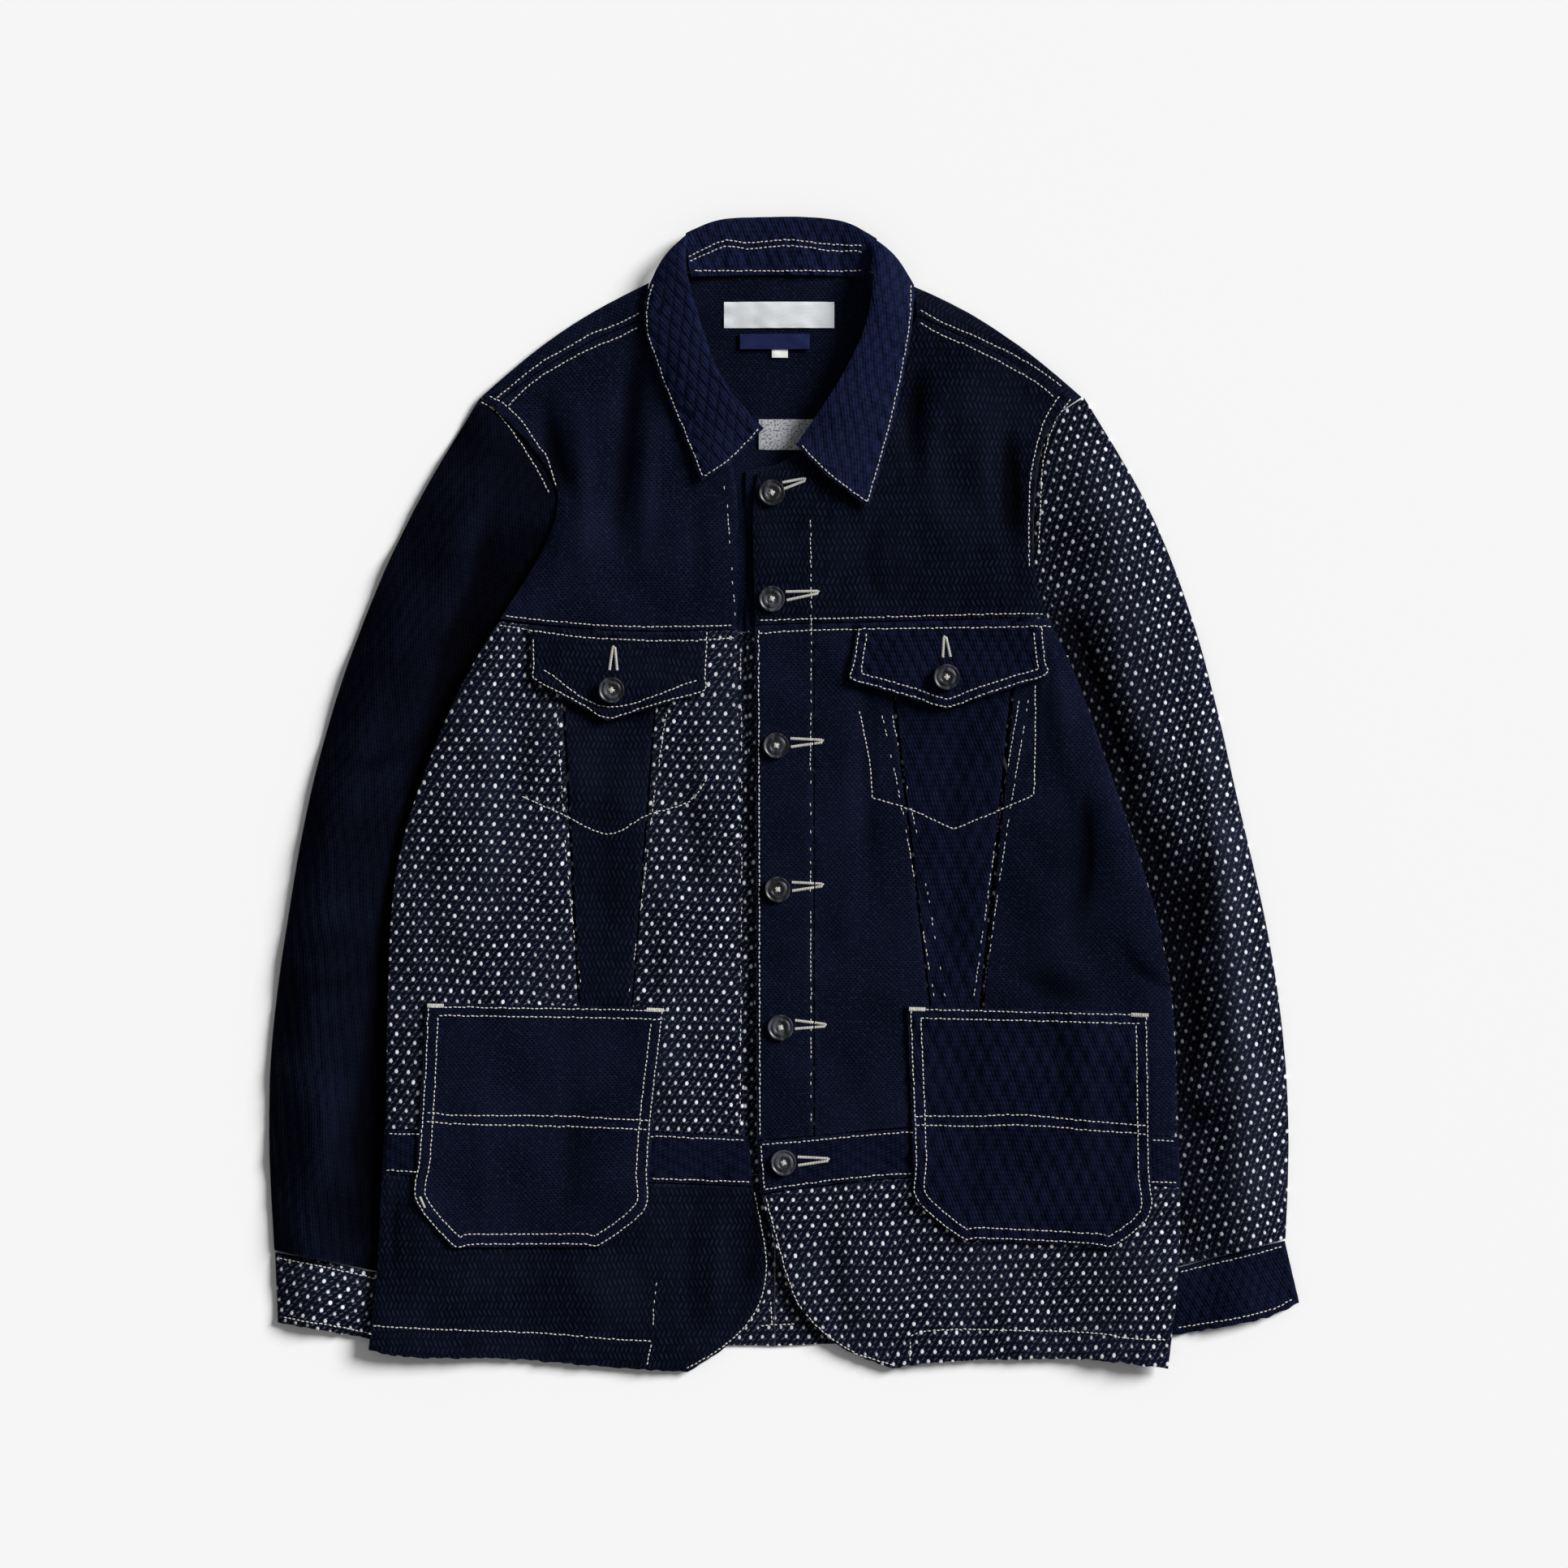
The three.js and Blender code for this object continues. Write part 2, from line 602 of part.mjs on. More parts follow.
function addWaistAndSkirts() {
  const { left, right } = sides;
  const y = (seam, name, x) => seam[name].at(x).y;
  add("waistband_left", clothWall(patch({
    low: waistLow.left.cut(-279, -22),
    high: waistTop.left.cut(-277, -26),
    left: left.body.cut(y(waistLow, "left", -279), y(waistTop, "left", -277)),
    right: straight([-22, y(waistLow, "left", -22)], [-26, y(waistTop, "left", -26)]),
    columns: 14,
    rows: 2,
    gap: 0.4,
  }), leftFront), INDIGO_QUILT);
  add("waistband_right", clothWall(patch({
    low: waistLow.right.cut(-18, 272),
    high: waistTop.right.cut(-21, 270),
    left: straight([-18, y(waistLow, "right", -18)], [-21, y(waistTop, "right", -21)]),
    right: right.body.cut(y(waistLow, "right", 272), y(waistTop, "right", 270)),
    columns: 14,
    rows: 2,
    gap: 0.4,
  }), rightFront), INDIGO_QUILT);
  add("skirt_left", clothWall(patch({
    low: hem.left,
    high: waistLow.left.cut(-279, -20),
    left: left.body.cut(-382, y(waistLow, "left", -279)),
    right: frontCorner.left,
    columns: 12,
    rows: 6,
    gap: 0.4,
  }), leftFront), INDIGO_CREPE);
  add("skirt_right", clothWall(patch({
    low: hem.right,
    high: waistLow.right.cut(-18, 272),
    left: frontCorner.right,
    right: right.body.cut(-395, y(waistLow, "right", 272)),
    columns: 12,
    rows: 6,
    gap: 0.4,
  }), rightFront), INDIGO_DOT);
}

// Pockets and flaps -------------------------------------------------------------------------------------------

const pocketRows = [0, 0.16, 0.3, 0.45, 0.6, 0.74, 0.87, 1];
const pocketKnots = [0, 0.16, 0.5, 1];

function addPockets() {
  const above = (height, rise) => (x, y) => height(x, y) + rise;
  add("pocket_left", clothWall(patch({
    low: straight([-230, -311], [-127, -311]),
    high: straight([-248, -143], [-83, -146]),
    left: new Path([[-230, -311], [-256, -279], [-251, -209], [-248, -143]], pocketKnots),
    right: new Path([[-127, -311], [-96, -286], [-92, -222], [-83, -146]], pocketKnots),
    columns: 9,
    rows: pocketRows,
    gap: 0,
  }), above(leftFront, POCKET_RISE)), INDIGO_FINE);
  add("pocket_right", clothWall(patch({
    low: straight([119, -306], [226, -311]),
    high: straight([83, -145], [249, -149]),
    left: new Path([[119, -306], [88, -279], [86, -215], [83, -145]], pocketKnots),
    right: new Path([[226, -311], [251, -289], [250, -215], [249, -149]], pocketKnots),
    columns: 9,
    rows: pocketRows,
    gap: 0,
  }), above(rightFront, POCKET_RISE)), INDIGO_QUILT);

  const LIFT = 4; // the free lower edge of a flap stands off
  const SIDE_LIFT = 1; // clears the body's roll beside it
  const flap = (height, seamY) => (x, y) => (
    height(x, y) + FLAP_RISE + LIFT * smooth(0, 60, seamY - y) ** 1.5 + SIDE_LIFT * smooth(145, 170, Math.abs(x))
  );
  const flapColumns = [0, 0.15, 0.3, 0.45, 0.63, 0.82, 1];
  add("flap_left", clothWall(patch({
    low: new Path([[-175, 79], [-123, 51], [-55, 71]], [0, 0.45, 1]),
    high: spline([-176, 116.8], [-116, 112.5], [-53, 112.6]),
    left: straight([-175, 79], [-176, 116.8]),
    right: straight([-55, 71], [-53, 112.6]),
    columns: flapColumns,
    rows: 4,
    gap: 0,
  }), flap(leftFront, 108)), INDIGO_CREPE);
  add("flap_right", clothWall(patch({
    low: new Path([[43, 79], [110, 59], [180, 82]], [0, 0.5, 1]),
    high: spline([49, 118.3], [130, 119.8], [176, 118.5]),
    left: straight([43, 79], [49, 118.3]),
    right: straight([180, 82], [176, 118.5]),
    columns: [0, 0.17, 0.34, 0.5, 0.66, 0.83, 1],
    rows: 4,
    gap: 0,
  }), flap(rightFront, 114)), INDIGO_QUILT);
}

// Collar ------------------------------------------------------------------------------------------------------

const leafEdges = {
  left: {
    outer: new Edge("y", [-94, 352], [-99, 327], [-93, 303], [-85, 280], [-73, 251], [-59, 215]),
    roll: new Edge("y", [-67, 387], [-69, 366], [-64, 343], [-49, 297], [-35, 274], [-15, 252]),
    top: [[-94, 352], [-84, 371], [-67, 387]],
    tip: [[-59, 215], [-42, 225], [-26, 240], [-15, 252]],
  },
  right: {
    outer: new Edge("y", [88, 351], [87, 325], [81, 289], [71, 246], [57, 197]),
    roll: new Edge("y", [60, 383], [59, 350], [52, 316], [31, 277], [6, 241]),
    top: [[60, 383], [75, 371], [88, 351]],
    tip: [[6, 241], [20, 226], [35, 213], [57, 197]],
  },
};

function rollHeight(y) {
  const fall = smooth(350, 388, y);
  const front = 1 - smooth(232, 290, y);
  return LEAF_ROLL - 8 * fall - 5 * front;
}

function leafHeight(name) {
  const { outer, roll } = leafEdges[name];
  return (x, y) => {
    const from = outer.at(y).x;
    const to = roll.at(y).x;
    const across = clamp((x - from) / (to - from), 0, 1);
    const low = LEAF_LOW - 4 * smooth(345, 375, y);
    return low + (rollHeight(y) - low) * Math.sin((across * Math.PI) / 2);
  };
}

function addCollar() {
  const STAND_WIDTH = 14;
  for (const [name, { outer, roll, top, tip }] of Object.entries(leafEdges)) {
    const isLeft = name === "left";
    const outerRun = outer.cut(isLeft ? 215 : 197, isLeft ? 352 : 351);
    const rollRun = roll.cut(isLeft ? 252 : 241, isLeft ? 387 : 383);
    add(`collar_leaf_${name}`, clothWall(patch({
      low: spline(...tip),
      high: spline(...top),
      left: isLeft ? outerRun : rollRun,
      right: isLeft ? rollRun : outerRun,
      columns: 5,
      rows: 12,
      gap: 0.4,
    }), leafHeight(name)), INDIGO_QUILT);

    // the stand comes up from the neck seam to the roll, under the leaf
    const out = isLeft ? -1 : 1;
    const [low, high] = [266, 348];
    const inner = roll.cut(low, high, out * 2);
    const foot = roll.cut(low, high, out * STAND_WIDTH);
    const standHeight = (x, y) => {
      const climb = clamp(1 - (out * (x - roll.at(y).x) - 2) / (STAND_WIDTH - 2), 0, 1);
      return LEAF_LOW - 0.8 + (rollHeight(y) - LEAF_LOW - 2.4) * climb;
    };
    const span = (y) => (isLeft
      ? straight([roll.at(y).x - STAND_WIDTH, y], [roll.at(y).x - 2, y])
      : straight([roll.at(y).x + 2, y], [roll.at(y).x + STAND_WIDTH, y]));
    add(`collar_stand_${name}`, clothWall(patch({
      low: span(low),
      high: span(high),
      left: isLeft ? foot : inner,
      right: isLeft ? inner : foot,
      columns: 2,
      rows: 8,
      gap: 0,
    }), standHeight), INDIGO_QUILT);
  }

  // behind the neck the collar rolls over: its inner face above, its fall on the surface below
  const collarTop = spline([-67, 387], [-49, 396], [-19, 398], [16, 398], [44, 394], [60, 383]);
  const backHeight = (x, y) => {
    const climb = smooth(356, 396, y);
    const sideRise = Math.exp(-(((x + 69) / 9) ** 2)) + Math.exp(-(((x - 61) / 9) ** 2));
    return 5 + 6 * climb + 4 * sideRise * (1 - climb);
  };
  add("collar_back", clothWall(patch({
    low: spline([-66, 356.5], [-39, 357.5], [-2, 358], [29, 357.5], [57, 356.5]),
    high: collarTop,
    left: spline([-66, 356.5], [-69, 372], [-67, 387]),
    right: spline([57, 356.5], [60, 371], [60, 383]),
    columns: 10,
    rows: 3,
    gap: 0.5,
  }), backHeight), INDIGO_QUILT);
  add("collar_fall_back", clothWall(patch({
    low: spline([-76, 364], [-39, 363], [-2, 364], [29, 363], [67, 364]),
    high: spline([-71, 383], [-48, 394], [-19, 396.5], [16, 396.5], [42, 392], [65, 377]),
    left: straight([-76, 364], [-71, 383]),
    right: straight([67, 364], [65, 377]),
    columns: 10,
    rows: 2,
    gap: 0.5,
  }), onTable), INDIGO_QUILT);
}

// Labels and buttons ------------------------------------------------------------------------------------------

function addLabels() {
  const label = (node, [x0, x1], [y0, y1], z, color) => {
    add(node, clothWall(patch({
      low: straight([x0, y0], [x1, y0]),
      high: straight([x0, y1], [x1, y1]),
      left: straight([x0, y0], [x0, y1]),
      right: straight([x1, y0], [x1, y1]),
      columns: 3,
      rows: 2,
      gap: 0,
    }), () => z, LABEL), color);
  };
  const first = CLOTH + SEAM + LABEL;
  label("label_main", [-43, 33], [322, 340], first, ECRU);
  label("label_small", [-32, 16], [307.3, 317.8], first + SEAM + LABEL, INDIGO_QUILT);
  label("label_tag", [-10, 1], [301.5, 312], first, ECRU);
  label("neck_patch", [-19, 19], [238, 259], first, PALE);
}

// A turned button: raised rim, a ring inside it and a shallow well.
function buttonGeometry() {
  const radius = BUTTON_WIDTH / 2;
  const profile = [
    [0, 0], [radius - 1.2, 0], [radius, 1.1], [radius, BUTTON_THICK - 0.9], [radius - 0.8, BUTTON_THICK],
    [radius - 2.2, BUTTON_THICK - 0.4], [radius - 3.2, BUTTON_THICK - 1.2], [radius - 4.6, BUTTON_THICK - 0.9],
    [0, BUTTON_THICK - 1.3],
  ];
  return new THREE.LatheGeometry(profile.map(point), 16).rotateX(Math.PI / 2);
}

function addButtons() {
  const places = [
    ["button_1", -10, 208, rightFront], ["button_2", -10, 135, rightFront], ["button_3", -7, 34, rightFront],
    ["button_4", -6, -65, rightFront], ["button_5", -4, -160, rightFront], ["button_6", -2, -253, rightFront],
  ];
  const place = (name, x, y, z) => {
    const button = add(name, buttonGeometry(), HORN, 0.35);
    button.position.set(x, y, z);
  };
  for (const [name, x, y, height] of places) place(name, x, y, height(x, y) + SEAM);
  place("flap_button_left", -120, 72, leftFront(-120, 72) + FLAP_RISE + 4.2);
  place("flap_button_right", 110, 81, rightFront(110, 81) + FLAP_RISE + 4.2);
}

addBack();
addSleeves();
addYokes();
addFronts();
addWaistAndSkirts();
addPockets();
addCollar();
addLabels();
addButtons();

// The outlines are laid out from the neck, so the jacket is moved to stand over the middle of its own box.
const laidOut = new THREE.Box3().setFromObject(jacket);
const middle = laidOut.getCenter(new THREE.Vector3());
jacket.position.set(-middle.x, -middle.y, -laidOut.min.z);

export default jacket;
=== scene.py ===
"""A patched work jacket laid flat, seen from straight above: quilted and dotted indigo cloth in
thin sheets, with hand stitching, buttonholes and horn buttons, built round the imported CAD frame."""

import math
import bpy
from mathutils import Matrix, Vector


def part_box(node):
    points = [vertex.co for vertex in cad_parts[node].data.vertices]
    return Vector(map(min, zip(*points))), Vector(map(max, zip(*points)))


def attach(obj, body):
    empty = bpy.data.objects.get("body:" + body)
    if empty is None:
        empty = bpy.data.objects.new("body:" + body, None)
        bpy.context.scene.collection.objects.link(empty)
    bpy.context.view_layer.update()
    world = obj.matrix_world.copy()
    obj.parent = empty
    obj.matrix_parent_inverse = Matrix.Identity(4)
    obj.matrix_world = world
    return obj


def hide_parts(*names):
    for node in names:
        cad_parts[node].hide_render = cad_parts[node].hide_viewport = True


bl_info = {
    "name": "Patched Work Jacket",
    "version": (1, 0, 0),
    "blender": (4, 5, 0),
    "location": "3D View > Sidebar > Jacket",
    "description": "Builds a flat-laid jacket of patched indigo cloth round its CAD frame",
    "category": "Object",
}

import bmesh
import bpy
import numpy as np
from mathutils import Matrix, Vector
from mathutils.bvhtree import BVHTree
from mathutils.kdtree import KDTree

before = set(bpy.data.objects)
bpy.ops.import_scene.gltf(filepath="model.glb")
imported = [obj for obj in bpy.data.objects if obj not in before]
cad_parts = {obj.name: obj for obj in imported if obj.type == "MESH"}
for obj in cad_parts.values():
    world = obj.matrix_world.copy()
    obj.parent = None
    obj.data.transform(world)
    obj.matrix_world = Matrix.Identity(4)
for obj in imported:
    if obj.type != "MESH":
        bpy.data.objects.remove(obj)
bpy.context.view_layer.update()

MM = 0.001
CLOTH_WALL = 1.4 * MM  # just under the CAD wall, so stacked sheets stay apart
LOWEST_TOP = 1.5 * MM  # no cloth sinks below the floor
SIDES = ("left", "right")
QUILTS = {  # width, height and rise of the quilted diamonds in mm
    "sleeve_left_top": (8.0, 21, 1.15), "wedge_right": (10.5, 23, 1.4),
    "pocket_right": (11, 24, 1.3), "flap_right": (9, 17, 0.55), "cuff_right_top": (8, 15, 0.5),
    "waistband_left": (9, 16, 0.4), "waistband_right": (9, 16, 0.4),
    "collar_leaf_left": (8, 17, 0.16), "collar_leaf_right": (8, 17, 0.16),
    "collar_back": (8, 15, 0.25),
}
PLAIN_QUILT = (9, 20, 0)  # for cloth that isn't quilted

# the cut lines below are in mm on the flat jacket, from a zero that the second button fixes
SECOND_BUTTON = np.array([-10, 135])


def middle_of(node):
    """The middle of a CAD piece as seen from above, in millimetres of the frame."""
    low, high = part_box(node)
    return np.array([(low.x + high.x) / 2 / MM, (low.y + high.y) / 2 / MM])


ZERO = middle_of("button_2") - SECOND_BUTTON

# ---------------------------------------------------------------- the cloth panels
# name: (fabric, grain in degrees, levels of subdivision, how far its edges roll down in mm)
PANELS = {
    "back_left": ("dotted", 0, 1, 0.1),
    "back_right": ("dotted", 0, 1, 0.1),
    "back_yoke": ("birdseye", 0, 3, 0.3),
    "back_side_left": ("dotted", 3, 2, 0.5),
    "back_side_right": ("dotted", -3, 2, 0.5),
    "back_skirt_left": ("dotted", 0, 2, 0.3),
    "back_skirt_right": ("dotted", 0, 2, 0.3),
    # the left sleeve's "sleeve" cloth is the quilted cloth painted darker, as painted shade
    "sleeve_left_under": ("sleeve", -15, 1, 0.1),
    "sleeve_right_under": ("dotted", 13, 1, 0.1),
    "sleeve_left_top": ("sleeve", -15, 3, 1.1),
    "sleeve_right_top": ("dotted", 13, 3, 1.1),
    "cuff_left_under": ("dotted", -15, 1, 0.1),
    "cuff_right_under": ("quilted", 13, 1, 0.1),
    "cuff_left_top": ("dotted", -15, 3, 1.1),
    "cuff_right_top": ("quilted", 13, 3, 1.1),
    "shoulder_left": ("birdseye", 30, 3, 0.6),
    "shoulder_right": ("slub", -30, 3, 0.6),
    "yoke_left": ("birdseye", 0, 3, 0.6),
    "yoke_right": ("slub", 0, 3, 0.6),
    "front_side_left": ("dotted", -2.5, 3, 0.35),
    "front_centre_left": ("dotted", -2.5, 3, 0.35),
    "wedge_left": ("slub", 0, 3, 0.35),
    "wedge_right": ("quilted", 0, 3, 0.35),
    "front_centre_right": ("birdseye", 0, 3, 0.35),
    "front_side_right": ("birdseye", 0, 3, 0.35),
    "placket_under": ("dotted", -2.5, 3, 0.6),
    "placket": ("birdseye", 0, 3, 0.7),
    "waistband_left": ("quilted", 90, 3, 0.7),
    "waistband_right": ("quilted", 90, 3, 0.7),
    "skirt_left": ("slub", 0, 3, 0.7),
    "skirt_right": ("dotted", 2, 3, 0.7),
    "pocket_left": ("birdseye", 0, 3, 0.8),
    "pocket_right": ("quilted", 0, 3, 0.8),
    "flap_left": ("slub", 0, 4, 0.8),
    "flap_right": ("quilted", 0, 4, 0.8),
    "collar_back": ("collar", 0, 3, 0.6),
    "collar_fall_back": ("collar", 0, 2, 0.5),
    "collar_stand_left": ("collar", 20, 3, 0.4),
    "collar_stand_right": ("collar", -20, 3, 0.4),
    "collar_leaf_left": ("collar", 20, 4, 0.9),
    "collar_leaf_right": ("collar", -14, 3, 0.9),
    "neck_patch": ("speckled", 0, 2, 0.2),
    "label_main": ("label", 0, 3, 0.2),
    "label_small": ("label_blue", 0, 3, 0.2),
    "label_tag": ("tag", 0, 3, 0.2),
}
# panel: (centre, reach, shift) in mm, where its cloth is drawn under the piece beside it
EASED = {
    "back_yoke": [((62, 358), (14, 7), (0, 5.2)), ((-72, 358), (12, 7), (0, 5.2))],
    "collar_fall_back": [((57, 363), (30, 5), (0, -2.8)), ((-66, 363), (30, 5), (0, -2.8))],
    "collar_back": [((60, 383), (7, 9), (2.6, -0.4)), ((-67, 387), (7, 9), (-2.6, -0.4))],
}
# panel: the panels that it lies on
RESTS_ON_EACH_SIDE = {
    "sleeve_{}_top": ["sleeve_{}_under"], "cuff_{}_top": ["cuff_{}_under"],
    "yoke_{}": ["back_yoke"], "shoulder_{}": ["back_yoke"],
    "front_side_{}": ["back_side_{}"], "front_centre_{}": ["back_{}"], "wedge_{}": ["back_{}"],
    "skirt_{}": ["back_skirt_{}"], "waistband_{}": ["back_{}"],
    "pocket_{}": ["front_side_{}", "skirt_{}"], "flap_{}": ["wedge_{}"],
    "collar_leaf_{}": ["yoke_{}"], "collar_stand_{}": ["yoke_{}"],
}
RESTS_ON = {name.format(side): [under.format(side) for under in below]
            for name, below in RESTS_ON_EACH_SIDE.items() for side in SIDES}
RESTS_ON.update({
    "placket": ["placket_under"], "placket_under": ["back_right"],
    "collar_back": ["back_yoke"], "collar_fall_back": ["back_yoke"],
    "neck_patch": ["back_yoke"], "label_main": ["back_yoke"],
    "label_small": ["back_yoke"], "label_tag": ["label_small"],
})
LEFT_PLAIN = ("back_left", "back_right", "back_skirt_left", "back_skirt_right",
              "sleeve_left_under", "sleeve_right_under", "cuff_left_under", "cuff_right_under")
# the layers above press these flat
HALF_BURIED = ("back_yoke", "back_side_left", "back_side_right")

# ---------------------------------------------------------------- creases
# (points, half width, height below zero for a trough, all in mm, how the panels' names start)
CREASES = [
    ([(-105, 308), (-109, 240), (-116, 165)], 7, -3.0, ("yoke_left", "shoulder_left")),
    ([(-92, 262), (-95, 222), (-100, 150)], 8, 2.0, ("yoke_left",)),
    ([(-167, 270), (-159, 235), (-150, 205)], 6, -2.6, ("yoke_left",)),
    ([(-150, 285), (-140, 225), (-137, 160)], 8, 1.6, ("yoke_left",)),
    ([(-64, 205), (-60, 160), (-66, 125)], 7, -1.5, ("yoke_left",)),
    ([(92, 297), (88, 260), (87, 225)], 6, -3.0, ("yoke_right",)),
    ([(104, 290), (101, 240), (104, 180)], 8, 1.6, ("yoke_right",)),
    ([(152, 256), (154, 220), (157, 180)], 6, -2.5, ("yoke_right",)),
    ([(138, 262), (137, 220), (140, 170)], 7, 1.5, ("yoke_right",)),
    ([(62, 190), (58, 160), (64, 128)], 6, -1.5, ("yoke_right",)),
    ([(-190, 238), (-222, 110), (-262, -60), (-297, -300)], 9, -3.0, ("sleeve_left",)),
    ([(-205, 215), (-243, 90), (-290, -90), (-318, -300)], 16, 2.6, ("sleeve_left",)),
    ([(-215, 240), (-262, 100), (-300, -30)], 8, -1.6, ("sleeve_left",)),
    ([(-262, 30), (-285, 20), (-310, 22)], 5, -1.5, ("sleeve_left",)),
    ([(-285, -120), (-308, -132), (-335, -128)], 5, -1.3, ("sleeve_left",)),
    ([(197, 123), (216, 68), (234, 15)], 7, -3.0, ("sleeve_right",)),
    ([(213, 150), (238, 60), (262, -30)], 10, 2.1, ("sleeve_right",)),
    ([(262, 134), (275, 30), (284, -67), (277, -182)], 9, -2.8, ("sleeve_right",)),
    ([(285, 90), (300, -40), (302, -180), (305, -290)], 14, 2.1, ("sleeve_right",)),
    ([(243, 20), (262, 2), (287, 6)], 5, -1.5, ("sleeve_right",)),
    ([(268, -205), (290, -222), (322, -214)], 5, -1.3, ("sleeve_right",)),
    ([(205, -2), (207, -40), (204, -75)], 4, -1.8, ("front_side_right",)),
    ([(228, -104), (245, -122), (265, -134)], 4.5, -2.0, ("front_side_right",)),
    ([(155, -122), (182, -132), (212, -140)], 9, -1.8, ("front_side_right",)),
    ([(186, 90), (190, 40), (204, -10)], 8, 1.5, ("front_side_right",)),
    ([(-232, 20), (-240, -40), (-246, -110)], 8, -1.5, ("front_side_left",)),
    ([(-176, 70), (-181, 10), (-174, -50)], 7, -1.3, ("front_side_left",)),
    ([(-200, 60), (-205, 0), (-212, -80)], 9, 1.5, ("front_side_left",)),
    ([(-62, 90), (-66, 20), (-60, -60), (-64, -140)], 9, -1.6, ("front_centre_left",)),
    ([(-84, -60), (-80, -120), (-84, -190)], 8, 1.3, ("front_centre_left",)),
    ([(58, 100), (54, 20), (60, -70)], 8, -1.5, ("front_centre_right",)),
    ([(40, 60), (44, -40), (40, -150)], 9, 1.3, ("front_centre_right",)),
    ([(-126, 40), (-124, -30), (-125, -110)], 9, -1.3, ("wedge_left",)),
    ([(118, 40), (116, -20), (118, -110)], 9, -1.3, ("wedge_right",)),
    ([(-268, -268), (-270, -300), (-269, -332)], 2.5, -1.5, ("skirt_left",)),
    # every crease also sets fold_shade_and_wear, so troughs get painted shade; the wide ones below
    # darken the left sleeve beside the body, the right side and the cloth beside the placket
    ([(-190, 238), (-221, 115), (-255, -40), (-297, -320)], 34, -3.0, ("sleeve_left",)),
    ([(182, 170), (196, 100), (222, 20), (254, -60), (275, -170), (277, -310)], 17, -2.2,
     ("sleeve_right",)),
    ([(194, 30), (206, -50), (196, -125)], 15, -1.7, ("front_side_right",)),
    ([(-30, 108), (-29, 0), (-29, -120), (-29, -228)], 6, -1.8,
     ("placket_under", "front_centre_left")),
    ([(-24, -274), (-24, -320), (-34, -366)], 8, -2.0, ("skirt_left",)),
    ([(-30, 205), (-29, 160), (-29, 118)], 7, -1.8, ("placket_under", "yoke_left")),
    ([(-176, 225), (-184, 190), (-200, 150)], 9, -1.4, ("yoke_left",)),
    ([(150, 232), (158, 180), (160, 130)], 9, -1.6, ("yoke_right",)),
    ([(-262, -270), (-264, -320), (-268, -370)], 9, -1.0, ("skirt_left",)),
    ([(-60, -275), (-66, -320), (-62, -372)], 7, -1.5, ("skirt_left",)),
    ([(-44, -285), (-47, -320), (-52, -360)], 6, 1.5, ("skirt_left",)),
    ([(30, -285), (34, -330), (44, -372)], 7, -1.5, ("skirt_right",)),
    ([(-205, -160), (-208, -230), (-203, -300)], 10, 1.3, ("pocket_left",)),
    ([(-150, -155), (-146, -230), (-152, -305)], 10, -1.3, ("pocket_left",)),
    ([(130, -155), (126, -230), (132, -300)], 10, -1.3, ("pocket_right",)),
    ([(205, -160), (210, -230), (205, -300)], 10, 1.5, ("pocket_right",)),
    ([(178, -150), (190, -190), (186, -222)], 6, -1.2, ("pocket_right",)),
]

# ---------------------------------------------------------------- seams: rows of hand stitches
PITCH = 3.1  # mm from one stitch to the next
# rows that follow a panel's own edge:
# (panel, first corner, last corner, a point that the run passes, insets in mm)
EDGE_ROWS = [
    ("collar_leaf_left", (-92, 352), (-57, 217), (-85, 280), (2.2,)),
    ("collar_leaf_left", (-59, 215), (-17, 251), (-40, 227), (2.2,)),
    ("collar_leaf_right", (88, 350), (57, 199), (81, 289), (2.2,)),
    ("collar_leaf_right", (57, 197), (8, 240), (34, 213), (2.2,)),
    ("flap_left", (-176, 112), (-54, 111), (-123, 51), (1.7,)),
    ("flap_right", (47, 115), (177, 116), (110, 59), (1.7, 7.2)),
    ("pocket_left", (-248, -143), (-83, -146), (-180, -311), (2.2, 9)),
    ("pocket_right", (83, -145), (249, -149), (160, -308), (2.2, 9)),
    ("pocket_left", (-247, -143), (-84, -146), (-162, -144), (2.4, 8.2)),
    ("pocket_right", (84, -145), (248, -149), (162, -147), (2.4, 8.2)),
    ("placket", (-20, 200), (-18, -225), (-19, 20), (2.3,)),
    ("waistband_left", (-279, -231), (-28, -235), (-150, -231), (2.6,)),
    ("waistband_left", (-281, -261), (-22, -270), (-150, -266), (2.6,)),
    ("waistband_right", (-20, -238), (270, -235), (100, -230), (2.6,)),
    ("waistband_right", (-16, -274), (272, -270), (100, -264), (2.6,)),
    ("waistband_right", (-21, -240), (-18, -272), (-20, -256), (2.6,)),
    ("skirt_left", (-68, -397), (-22, -273), (-29, -371), (2.4,)),
    ("skirt_right", (73, -394), (-17, -278), (4, -349), (2.4,)),
    ("yoke_left", (-198, 121), (-36, 114), (-100, 113), (2.6,)),
    ("yoke_right", (-20, 117), (184, 122), (80, 120), (2.6,)),
    ("cuff_left_top", (-353, -317), (-282, -331), (-324, -321), (3,)),
    ("cuff_left_top", (-351, -363), (-285, -375), (-321, -368), (4.5,)),
    ("cuff_right_top", (344, -309), (269, -327), (311, -317), (3,)),
    ("cuff_right_top", (353, -351), (266, -372), (329, -360), (4.5,)),
]
